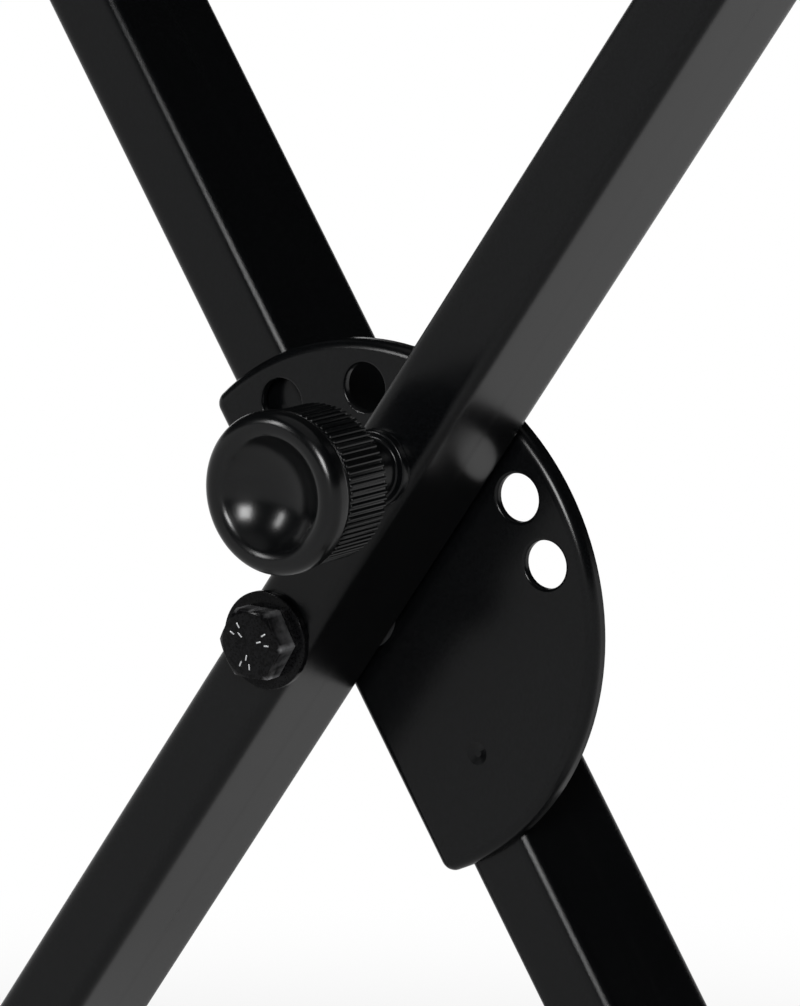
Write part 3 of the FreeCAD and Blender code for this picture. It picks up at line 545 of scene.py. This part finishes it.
class STAND_OT_knob(PieceOperator):
    """Build the pull knob: dished front, smooth band, neck and ribbed skirt"""

    bl_idname = "stand.knob"
    bl_label = "Pull knob"

    def build(self, sizes):
        """Turns the body, then lays the ribs round it."""
        low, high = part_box("plunger_knob")
        depth = high.y - low.y
        gap = sizes.dish_depth - sizes.dish_rim
        bowl = (sizes.dish_radius ** 2 + gap ** 2) / (2 * gap)
        swing = math.degrees(math.asin(sizes.dish_radius / bowl))
        outline = arc((0, sizes.dish_depth - bowl), bowl, 90, 90 - swing, 20)
        outline[0] = (0.0, sizes.dish_depth)
        edge = sizes.knob_radius - sizes.knob_lip
        run = edge - sizes.dish_radius
        crest = (run ** 2 + sizes.dish_rim ** 2) / (2 * sizes.dish_rim)
        lean = math.degrees(math.asin(run / crest))
        outline += arc((edge, crest), crest, -90 - lean, -90, 8)[1:]
        outline += arc((edge, sizes.knob_lip), sizes.knob_lip, -90, 0, 14)[1:]
        root = sizes.skirt_radius - sizes.rib_radius
        recess = 9 * MM
        insert = 5.55 * MM
        step = depth - 4 * MM
        outline += softened([
            (sizes.knob_radius, sizes.knob_lip), (sizes.knob_radius, sizes.knob_band, 0.6 * MM),
            (sizes.knob_neck, sizes.knob_band + 0.8 * MM, 0.3 * MM),
            (sizes.knob_neck, sizes.skirt_start + 0.1 * MM, 0.2 * MM),
            (root, sizes.skirt_start + 0.1 * MM, 0.3 * MM), (root, depth, 0.9 * MM),
            (recess, depth, 0.6 * MM), (recess, step, 0.4 * MM), (insert, step),
            (insert, step + 0.05 * MM), (insert, step - 8 * MM), (0.0, step - 8 * MM)])[1:]
        mesh = turned(outline, steps=144)
        ribs = sizes.rib_count
        span = depth - sizes.skirt_start - 2.2 * sizes.rib_radius
        for index in range(ribs):
            made = bmesh.ops.create_uvsphere(
                mesh, u_segments=10, v_segments=8, radius=sizes.rib_radius)["verts"]
            bmesh.ops.rotate(mesh, verts=made, cent=(0, 0, 0),
                             matrix=Matrix.Rotation(math.radians(90), 3, "X"))
            rear = [vert for vert in made if vert.co.y > 1e-6]
            bmesh.ops.translate(mesh, verts=rear, vec=(0, span, 0))
            bmesh.ops.translate(mesh, verts=made, vec=(
                root, sizes.skirt_start + 1.1 * sizes.rib_radius, 0))
            bmesh.ops.rotate(mesh, verts=made, cent=(0, 0, 0), matrix=Matrix.Rotation(
                2 * math.pi * index / ribs, 3, "Y"))
        middle = (low + high) / 2
        finished(mesh, "pull_knob", "Knob plastic", "plunger",
                 ["plunger_knob"], Matrix.Translation((middle.x, low.y, middle.z)))


class STAND_OT_pivot(PieceOperator):
    """Build the pivot's bolt, nut and steel washers"""

    bl_idname = "stand.pivot"
    bl_label = "Pivot bolt, nut and washers"

    def build(self, sizes):
        """Builds each piece along Y and sets it on the pivot."""
        self.bolt(sizes)
        self.nut(sizes)
        for node, name in (("pivot_front_washer", "front_washer"),
                           ("pivot_rear_washer", "rear_washer")):
            self.washer(node, name)

    def head(self, mesh, sizes, top, foot, inner):
        """A chamfered hexagon from its flat top to its foot, open at both ends."""
        flats = sizes.bolt_flats
        way = 1 if foot > top else -1
        slope = math.tan(math.radians(30)) * way
        soft = 0.12 * MM
        crown = sizes.crown

        def chamfer(reach):
            return top + (reach - crown) * slope

        def chamfer_end(reach):
            return top + (reach - crown) * slope + 2 * soft * way

        rings = [hexagon_ring(mesh, None, inner, top),
                 hexagon_ring(mesh, None, crown - soft, top),
                 hexagon_ring(mesh, None, crown + soft, top + 0.6 * soft * way),
                 hexagon_ring(mesh, flats - 2 * soft, None, chamfer),
                 hexagon_ring(mesh, flats, None, chamfer_end),
                 hexagon_ring(mesh, flats, None, foot - soft * way),
                 hexagon_ring(mesh, flats - 2 * soft, None, foot)]
        skin(mesh, rings)
        return rings

    def bolt(self, sizes):
        """The bolt: head with plain ticks, shank and thread."""
        low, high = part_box("pivot_bolt")
        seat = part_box("pivot_front_washer")[0].y
        mesh = bmesh.new()
        rings = self.head(mesh, sizes, low.y, seat, 4 * MM)
        bmesh.ops.edgeloop_fill(mesh, edges=ring_edges(rings[0]))
        under = hexagon_ring(mesh, None, BOLT_RADIUS, seat)
        skin(mesh, [rings[-1], under])
        self.ticks(sizes, low.y)
        core = 4.35 * MM
        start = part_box("pivot_nut")[1].y - 2 * sizes.thread_pitch
        end = high.y
        turn_into(mesh, softened([
            (BOLT_RADIUS, seat), (BOLT_RADIUS, start), (core, start + 0.6 * MM),
            (core, end, 0.5 * MM), (0.0, end)]), 48, False)
        pitch = sizes.thread_pitch
        turns = int((end - start) / pitch) + 1
        steps = 40
        rise = (end - start - 1.2 * pitch) / (turns * steps)
        crest = [mesh.verts.new((core - 0.05 * MM, start - 0.3 * pitch, 0)),
                 mesh.verts.new((BOLT_RADIUS, start + 0.12 * pitch, 0)),
                 mesh.verts.new((BOLT_RADIUS, start + 0.28 * pitch, 0)),
                 mesh.verts.new((core - 0.05 * MM, start + 0.7 * pitch, 0))]
        edges = [mesh.edges.new(pair) for pair in zip(crest, crest[1:])]
        edges.append(mesh.edges.new((crest[-1], crest[0])))
        bmesh.ops.spin(mesh, geom=crest + edges, cent=(0, 0, 0), axis=(0, 1, 0),
                       dvec=(0, rise, 0), angle=2 * math.pi * turns, steps=steps * turns)
        ends = [edge for edge in mesh.edges if edge.is_boundary]
        bmesh.ops.holes_fill(mesh, edges=ends, sides=4)
        finished(mesh, "pivot_bolt_fine", "Black oxide", "front_leg",
                 ["pivot_bolt"], Matrix.Translation((PIVOT.x, 0, PIVOT.z)))

    def ticks(self, sizes, top):
        """Plain raised ticks, rubbed bright, on the flat top."""
        mesh = bmesh.new()
        for group in range(3):
            for offset, reach in ((-9, 5.6), (9, 5.6), (0, 3.4)):
                made = bmesh.ops.create_cube(mesh, size=1.0)["verts"]
                bmesh.ops.scale(mesh, verts=made, vec=(
                    1.5 * MM, 2 * sizes.mark_height, 0.42 * MM))
                bmesh.ops.translate(mesh, verts=made, vec=(reach * MM, top, 0))
                bmesh.ops.rotate(mesh, verts=made, cent=(0, 0, 0), matrix=Matrix.Rotation(
                    math.radians(120 * group + 100 + offset * 1.6), 3, "Y"))
                edges = {edge for vert in made for edge in vert.link_edges}
                bmesh.ops.bevel(mesh, geom=list(edges), offset=0.09 * MM, segments=2,
                                profile=0.5, affect="EDGES", material=-1)
        finished(mesh, "bolt_ticks", "Worn steel", "front_leg", (),
                 Matrix.Translation((PIVOT.x, 0, PIVOT.z)))

    def nut(self, sizes):
        """The self-locking nut and the ring inside its collar."""
        low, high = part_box("pivot_nut")
        collar = high.y - 3 * MM
        mesh = bmesh.new()
        hole = 5.02 * MM
        rings = self.head(mesh, sizes, low.y, collar, hole + 0.5 * MM)
        outer = sizes.bolt_flats / 2 - 0.85 * MM
        tail = [(outer, collar), (outer, high.y - 0.9 * MM), (outer - 0.25 * MM,
                high.y - 0.35 * MM), (outer - 0.9 * MM, high.y), (6.6 * MM, high.y),
                (6.6 * MM, high.y - 0.5 * MM), (hole, high.y - 0.5 * MM),
                (hole, low.y + 0.5 * MM)]
        rings += [hexagon_ring(mesh, None, radius, level) for radius, level in tail]
        skin(mesh, rings)
        skin(mesh, [rings[-1], rings[0]])
        place = Matrix.Translation((PIVOT.x, 0, PIVOT.z))
        finished(mesh, "lock_nut", "Dull zinc", "front_leg",
                 ["pivot_nut"], place)
        ring = turned(softened([
            (hole, high.y - 0.45 * MM), (6.55 * MM, high.y - 0.45 * MM),
            (6.55 * MM, high.y - 0.05 * MM, 0.15 * MM),
            (hole, high.y - 0.1 * MM, 0.15 * MM)], closed=True), 72, closed=True)
        finished(ring, "lock_nut_ring", "Slip plastic", "front_leg",
                 (), place)

    def washer(self, node, name):
        """A flat washer with its stamped edges eased."""
        low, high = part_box(node)
        inner = 5.08 * MM
        outer = (high.x - low.x) / 2
        ease = 0.35 * MM
        mesh = turned(softened([
            (inner, low.y, 0.2 * MM), (outer, low.y, ease), (outer, high.y, 0.15 * MM),
            (inner, high.y, 0.15 * MM)], closed=True), 120, closed=True)
        finished(mesh, name, "Black oxide", "front_leg", [node],
                 Matrix.Translation((PIVOT.x, 0, PIVOT.z)))


class STAND_OT_sleeve(PieceOperator):
    """Build the plunger's sleeve with its welded flange"""

    bl_idname = "stand.sleeve"
    bl_label = "Plunger sleeve"

    def build(self, sizes):
        """Turns the sleeve and lays a bead round its flange."""
        low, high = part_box("plunger_sleeve")
        middle = (low + high) / 2
        outer = 7.5 * MM
        flange = (high.x - low.x) / 2
        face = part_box("front_leg_tube")[0].y
        back = face - 2.5 * MM
        bore = 5.58 * MM
        rod = 4.08 * MM
        cap = low.y + 3 * MM
        mesh = turned(softened([
            (rod, low.y, 0.3 * MM), (outer, low.y, 1.3 * MM), (outer, back, 0.8 * MM),
            (flange, back, 0.6 * MM), (flange, face), (outer, face), (outer, high.y),
            (bore, high.y, 0.2 * MM), (bore, cap), (rod, cap)], closed=True), 96, closed=True)
        finished(mesh, "plunger_sleeve_fine", "Powder coat", "front_leg",
                 ["plunger_sleeve"],
                 Matrix.Translation((middle.x, 0, middle.z)))
        points = []
        for step in range(72):
            angle = 2 * math.pi * step / 72
            points.append(Vector((middle.x + (flange - 0.4 * MM) * math.cos(angle), face,
                                  middle.z + (flange - 0.4 * MM) * math.sin(angle))))
        bead_curve("sleeve_weld", points, 0.55 * MM, "front_leg")


def bead_curve(name, points, radius, body):
    """A closed rippled weld bead along the points."""
    data = bpy.data.curves.new(name, "CURVE")
    data.dimensions = "3D"
    data.bevel_depth = radius
    data.bevel_resolution = 3
    data.resolution_u = 2
    spline = data.splines.new("POLY")
    spline.points.add(len(points) - 1)
    for index, point in enumerate(points):
        spline.points[index].co = (*point, 1.0)
        spline.points[index].radius = 1.0 + 0.16 * math.sin(index * 1.7) \
            + 0.07 * math.sin(index * 0.61 + 1.0)
    spline.use_cyclic_u = True
    data.materials.append(bpy.data.materials["Powder coat"])
    piece = bpy.data.objects.new(name, data)
    bpy.context.scene.collection.objects.link(piece)
    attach(piece, body)


class STAND_OT_welds(PieceOperator):
    """Build the weld beads between the legs and their saddles"""

    bl_idname = "stand.welds"
    bl_label = "Weld beads"

    def build(self, sizes):
        """Lays a bead round each end of each leg."""
        ends = half_leg()
        for side_name, side in (("front", FRONT), ("rear", REAR)):
            centre = middle_of(side_name + "_leg_tube").y
            place = leg_place(side)
            for bar, way, radius in (("arm", 1, ARM_BAR_RADIUS), ("foot", -1, FOOT_BAR_RADIUS)):
                level = way * (ends - radius - SADDLE_STEP)
                reach = 0.3 * MM
                path = rounded_path(TUBE_HALF_WIDTH + reach, TUBE_HALF_DEPTH + reach,
                                    TUBE_CORNER + reach)
                points = [place @ Vector((x, centre + y, level - way * reach))
                          for x, y in path]
                bead_curve("%s_%s_weld" % (side_name, bar), points, sizes.bead,
                           side_name + "_leg")


def rounded_path(half_x, half_y, corner):
    """Points round a rounded rectangle, about a millimetre apart."""
    path = []
    for sign_x, sign_y, start in ((1, 1, 0), (-1, 1, 90), (-1, -1, 180), (1, -1, 270)):
        centre = (sign_x * (half_x - corner), sign_y * (half_y - corner))
        path += arc(centre, corner, start, start + 90, 4)
    points = []
    for index, point in enumerate(path):
        here = Vector(point)
        after = Vector(path[(index + 1) % len(path)])
        pieces = max(1, round((after - here).length / (1.1 * MM)))
        points += [here.lerp(after, step / pieces) for step in range(pieces)]
    return points


class STAND_OT_screws(PieceOperator):
    """Build the dome-headed screws that hold arms and foot bars"""

    bl_idname = "stand.screws"
    bl_label = "Bar screws"

    def build(self, sizes):
        """Turns a screw with a hexagon socket for each one of the frame."""
        for side_name, side in (("front", FRONT), ("rear", REAR)):
            for bar, way in (("arm", 1), ("foot", -1)):
                for number in (1, 2):
                    self.screw(sizes, side_name, side, bar, way, number)

    def screw(self, sizes, side_name, side, bar, way, number):
        """One screw, its dome towards the pivot."""
        node = "%s_%s_screw_%d" % (side_name, bar, number)
        ends = half_leg()
        radius = ARM_BAR_RADIUS if bar == "arm" else FOOT_BAR_RADIUS
        seat = ends - radius - SADDLE_STEP
        head = 5.25 * MM
        dome = 3.3 * MM
        ball = (head ** 2 + dome ** 2) / (2 * dome)
        reach = 2.35 * MM
        centre = ball - dome
        start = math.degrees(math.acos(reach / ball))
        end = math.degrees(math.asin(centre / ball))
        outline = [(0.0, dome - 1.9 * MM), (reach - 0.25 * MM, dome - 1.9 * MM)]
        outline += [(reach - 0.1 * MM, ball * math.sin(math.radians(start)) - centre - 0.1 * MM)]
        outline += arc((0, -centre), ball, start, end, 10)
        outline += [(head - 0.15 * MM, -0.02 * MM), (3 * MM, 0.0), (3 * MM, -12 * MM),
                    (0.0, -12 * MM)]
        mesh = turned(outline, steps=48)
        for vert in mesh.verts:
            flat = math.hypot(vert.co.x, vert.co.z)
            if 1e-5 < flat < reach - 0.05 * MM and vert.co.y > 0:
                angle = math.atan2(vert.co.z, vert.co.x)
                scale = hexagon_reach(sizes.socket, angle) / flat
                vert.co.x *= scale
                vert.co.z *= scale
        turn = Matrix.Rotation(math.radians(90 if way < 0 else -90), 4, "X")
        across = middle_of(node).y
        place = leg_place(side) @ Matrix.Translation((0, across, way * seat)) @ turn
        finished(mesh, node + "_fine", "Dull zinc", side_name + "_leg",
                 [node], place)


class STAND_OT_rubber(PieceOperator):
    """Build the rubber caps and the ridged sleeves"""

    bl_idname = "stand.rubber"
    bl_label = "Caps and sleeves"

    def build(self, sizes):
        """Builds both ends of every bar."""
        for side_name in ("front", "rear"):
            for end_name, way in (("near", -1), ("far", 1)):
                self.arm_cap(side_name, end_name, way)
                self.foot_cap(side_name, end_name, way)
                self.sleeve(sizes, side_name, end_name, way)

    def along(self, node, way):
        """A node's inner and outer end along Y, counted outwards."""
        low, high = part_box(node)
        return (high.y, low.y) if way < 0 else (low.y, high.y)

    def set_on(self, mesh, node, name, material, slot, side_name, way):
        """Turns the mesh the right way and sets it on its bar."""
        inner = self.along(node, way)[0]
        middle = middle_of(node)
        if way < 0:
            bmesh.ops.scale(mesh, verts=mesh.verts, vec=(1, -1, 1))
            bmesh.ops.reverse_faces(mesh, faces=mesh.faces)
        place = Matrix.Translation((middle.x, inner, self.bar_height(node)))
        finished(mesh, name, material, side_name + "_leg", [node], place)

    def bar_height(self, node):
        """The height of the bar that a cap or sleeve sits on."""
        bar = node.rsplit("_", 2)[0] + "_bar"
        return middle_of(bar).z

    def arm_cap(self, side_name, end_name, way):
        """A cap whose flange stops the keyboard, with three grip rings."""
        node = "%s_arm_cap_%s" % (side_name, end_name)
        inner, outer = self.along(node, way)
        length = abs(outer - inner)
        bore = ARM_BORE
        wall = 15.5 * MM
        flange = 19 * MM
        step = length - 7 * MM
        outline = [(bore, 0.0, 0.4 * MM), (wall, 0.0, 1.0 * MM)]
        for ring in range(3):
            place = (4 + 4 * ring) * MM
            outline += [(wall, place - 0.7 * MM, 0.3 * MM), (wall - 0.8 * MM, place, 0.5 * MM),
                        (wall, place + 0.7 * MM, 0.3 * MM)]
        outline += [(wall, step, 1.2 * MM), (flange, step, 2.2 * MM), (flange, length, 2.2 * MM),
                    (12 * MM, length, 1.0 * MM), (11 * MM, length - 0.8 * MM, 1.0 * MM),
                    (0.0, length - 0.8 * MM), (0.0, length - 3 * MM), (bore, length - 3 * MM)]
        mesh = turned(softened(outline), 96)
        edges = [edge for edge in mesh.edges if edge.is_boundary]
        bmesh.ops.bridge_loops(mesh, edges=edges)
        self.set_on(mesh, node, node + "_fine", "Cap rubber", "cap_rubber", side_name, way)

    def foot_cap(self, side_name, end_name, way):
        """A cap with grip rings, cut flat where it stands."""
        node = "%s_foot_cap_%s" % (side_name, end_name)
        inner, outer = self.along(node, way)
        length = abs(outer - inner)
        bore = FOOT_BORE
        wall = 20 * MM
        outline = [(bore, 0.0, 0.4 * MM), (wall, 0.0, 1.4 * MM)]
        for ring in range(5):
            place = (6 + 4.5 * ring) * MM
            outline += [(wall, place - 0.8 * MM, 0.3 * MM), (wall - 0.9 * MM, place, 0.5 * MM),
                        (wall, place + 0.8 * MM, 0.3 * MM)]
        outline += [(wall, length, 3.4 * MM), (13 * MM, length, 0.8 * MM),
                    (12 * MM, length - 0.7 * MM, 0.8 * MM), (0.0, length - 0.7 * MM),
                    (0.0, length - 5 * MM), (bore, length - 5 * MM)]
        mesh = turned(softened(outline), 96)
        edges = [edge for edge in mesh.edges if edge.is_boundary]
        bmesh.ops.bridge_loops(mesh, edges=edges)
        height = self.bar_height(node)
        cut = bmesh.ops.bisect_plane(
            mesh, geom=mesh.verts[:] + mesh.edges[:] + mesh.faces[:],
            plane_co=(0, 0, -height), plane_no=(0, 0, -1), clear_outer=True)
        edges = [item for item in cut["geom_cut"] if isinstance(item, bmesh.types.BMEdge)]
        bmesh.ops.edgeloop_fill(mesh, edges=edges)
        self.set_on(mesh, node, node + "_fine", "Cap rubber", "cap_rubber", side_name, way)

    def sleeve(self, sizes, side_name, end_name, way):
        """A rubber sleeve with close ridges round it."""
        node = "%s_arm_grip_%s" % (side_name, end_name)
        inner, outer = self.along(node, way)
        length = abs(outer - inner)
        bore = ARM_BORE
        wall = 15.5 * MM
        pitch = sizes.ridge_pitch
        rows = int((length - 6 * MM) / pitch)
        outline = [(bore, 0.0, 0.4 * MM), (wall, 0.0, 1.2 * MM)]
        start = (length - rows * pitch) / 2
        for row in range(rows + 1):
            place = start + row * pitch
            outline += [(wall, place - 0.28 * pitch, 0.2 * MM),
                        (wall - sizes.ridge_depth, place, 0.4 * MM),
                        (wall, place + 0.28 * pitch, 0.2 * MM)]
        outline += [(wall, length, 1.2 * MM), (bore, length, 0.4 * MM)]
        mesh = turned(softened(outline, steps=2, closed=True), 64, closed=True)
        self.set_on(mesh, node, node + "_fine", "Sleeve rubber", "grip_rubber",
                    side_name, way)


# ---------------------------------------------------------------------------------- stage

class STAND_OT_stage(bpy.types.Operator):
    """Lay the pale floor and set the studio light and the camera"""

    bl_idname = "stand.stage"
    bl_label = "Stage, light and camera"

    target = Vector((0.00988, -0.00175, PIVOT.z + 0.02959))

    def execute(self, context):
        """Builds the stage."""
        context.scene.view_settings.view_transform = "Standard"
        self.floor(context)
        self.world(context)
        self.lamps()
        self.camera(context)
        return {"FINISHED"}

    def floor(self, context):
        """A wide plain floor at the stand's feet."""
        finish = Finish("Pale floor", {"Roughness": 0.8, "Specular IOR Level": 0.1})
        smudge = finish.group("Smudges", {"Scale": 1.2, "Contrast": 0.6})
        tint = context.scene.stand_colours.floor
        darker = [0.985 * part for part in tint]
        nodes = finish.nodes
        finish.link(nodes.mixed(smudge["Mask"], darker, tint), "Base Color")
        place = nodes.add("ShaderNodeTexCoord").outputs["Object"]
        reach = nodes.add("ShaderNodeVectorMath", {0: place}, operation="LENGTH").outputs["Value"]
        near, far, least = 0.45, 1.20, 0.32
        away = nodes.ranged(reach, near, far, least, 1.0, smooth=True)
        ray = nodes.add("ShaderNodeLightPath").outputs
        seen = nodes.math("ADD", ray["Is Camera Ray"], ray["Is Glossy Ray"])
        seen = nodes.math("ADD", seen, ray["Is Transmission Ray"], clamp=True)
        white = nodes.add("ShaderNodeEmission", {"Color": (1.0, 1.0, 1.0, 1.0)})
        blend = nodes.add("ShaderNodeMixShader", {0: nodes.math("MULTIPLY", away, seen),
                                                  1: finish.shader.outputs["BSDF"],
                                                  2: white.outputs["Emission"]})
        nodes.tree.links.new(blend.outputs[0], finish.output.inputs["Surface"])
        mesh = bmesh.new()
        bmesh.ops.create_circle(mesh, cap_ends=True, radius=30.0, segments=96)
        data = bpy.data.meshes.new("floor")
        mesh.to_mesh(data)
        mesh.free()
        data.materials.append(finish.material)
        floor = bpy.data.objects.new("floor", data)
        context.scene.collection.objects.link(floor)

    def world(self, context):
        """A bright ceiling, a dark band below it, and pale from the horizon down."""
        world = bpy.data.worlds.new("Studio")
        world.use_nodes = True
        world.node_tree.nodes.clear()
        nodes = Nodes(world.node_tree)
        way = nodes.add("ShaderNodeTexCoord").outputs["Generated"]
        rise = nodes.add("ShaderNodeSeparateXYZ", {"Vector": way}).outputs["Z"]
        pale = nodes.ranged(rise, 0.10, 0.18, 1.0, 0.02, smooth=True)
        ceiling = nodes.ranged(rise, 0.82, 0.90, 0.0, 0.45, smooth=True)
        level = nodes.math("ADD", pale, ceiling)
        ground = nodes.add("ShaderNodeBackground", {
            "Color": (1.0, 1.0, 1.0, 1.0), "Strength": level}).outputs["Background"]
        nodes.add("ShaderNodeOutputWorld", {"Surface": ground})
        context.scene.world = world

    def lamp(self, name, way, distance, wide, high, power):
        """A softbox that faces the pivot from one side."""
        data = bpy.data.lights.new(name, "AREA")
        data.shape = "RECTANGLE"
        data.size = wide
        data.size_y = high
        data.energy = power
        lamp = bpy.data.objects.new(name, data)
        way = Vector(way).normalized()
        lamp.location = self.target + way * distance
        lamp.rotation_euler = way.to_track_quat("Z", "Y").to_euler()
        lamp.visible_camera = False
        bpy.context.scene.collection.objects.link(lamp)

    def lamps(self):
        """Two softboxes in front."""
        distance = 1.6
        self.lamp("Key softbox", (0.46, -0.76, 0.46), distance, 0.46, 0.50, 29.0)
        self.lamp("Strip softbox", (-0.47, -0.75, 0.46), distance, 0.22, 0.50, 10.5)

    def camera(self, context):
        """Looks from the right and slightly above, with a slight roll."""
        azimuth = math.radians(35.40)
        elevation = math.radians(11.66)
        roll = math.radians(1.13)
        distance = 1.46685
        back = Vector((math.sin(azimuth) * math.cos(elevation),
                       -math.cos(azimuth) * math.cos(elevation), math.sin(elevation)))
        right = Vector((math.cos(azimuth), math.sin(azimuth), 0.0))
        up = back.cross(right)
        turned_right = right * math.cos(roll) + up * math.sin(roll)
        turned_up = up * math.cos(roll) - right * math.sin(roll)
        data = bpy.data.cameras.new("Camera")
        data.sensor_width = 36.0
        data.lens = 207.08
        data.clip_start = 0.05
        data.clip_end = 100.0
        camera = bpy.data.objects.new("Camera", data)
        turn = Matrix((turned_right, turned_up, back)).transposed().to_4x4()
        camera.matrix_world = Matrix.Translation(self.target + back * distance) @ turn
        context.scene.collection.objects.link(camera)
        context.scene.camera = camera


# ------------------------------------------------------------------------------- the panel

OPERATORS = (STAND_OT_finishes, STAND_OT_knob, STAND_OT_pivot, STAND_OT_sleeve,
             STAND_OT_welds, STAND_OT_screws, STAND_OT_rubber, STAND_OT_stage)


class STAND_PT_panel(bpy.types.Panel):
    """Lists the stand's operators, sizes and colours"""

    bl_idname = "STAND_PT_panel"
    bl_label = "Keyboard stand"
    bl_space_type = "VIEW_3D"
    bl_region_type = "UI"
    bl_category = "Stand"

    def draw(self, context):
        """Draws the list."""
        for operator in OPERATORS:
            self.layout.operator(operator.bl_idname)
        for group in (context.scene.stand_sizes, context.scene.stand_colours):
            box = self.layout.box()
            for name in group.__annotations__:
                box.prop(group, name)


CLASSES = (StandSizes, StandColours, *OPERATORS, STAND_PT_panel)


def register():
    """Adds the classes and the scene's settings."""
    for item in CLASSES:
        bpy.utils.register_class(item)
    bpy.types.Scene.stand_sizes = bpy.props.PointerProperty(type=StandSizes)
    bpy.types.Scene.stand_colours = bpy.props.PointerProperty(type=StandColours)


def unregister():
    """Takes them away again."""
    del bpy.types.Scene.stand_colours
    del bpy.types.Scene.stand_sizes
    for item in reversed(CLASSES):
        bpy.utils.unregister_class(item)


def main():
    """Runs every operator in order."""
    register()
    bpy.ops.stand.finishes()
    bpy.ops.stand.knob()
    bpy.ops.stand.pivot()
    bpy.ops.stand.sleeve()
    bpy.ops.stand.welds()
    bpy.ops.stand.screws()
    bpy.ops.stand.rubber()
    bpy.ops.stand.stage()


if __name__ == "__main__":
    main()
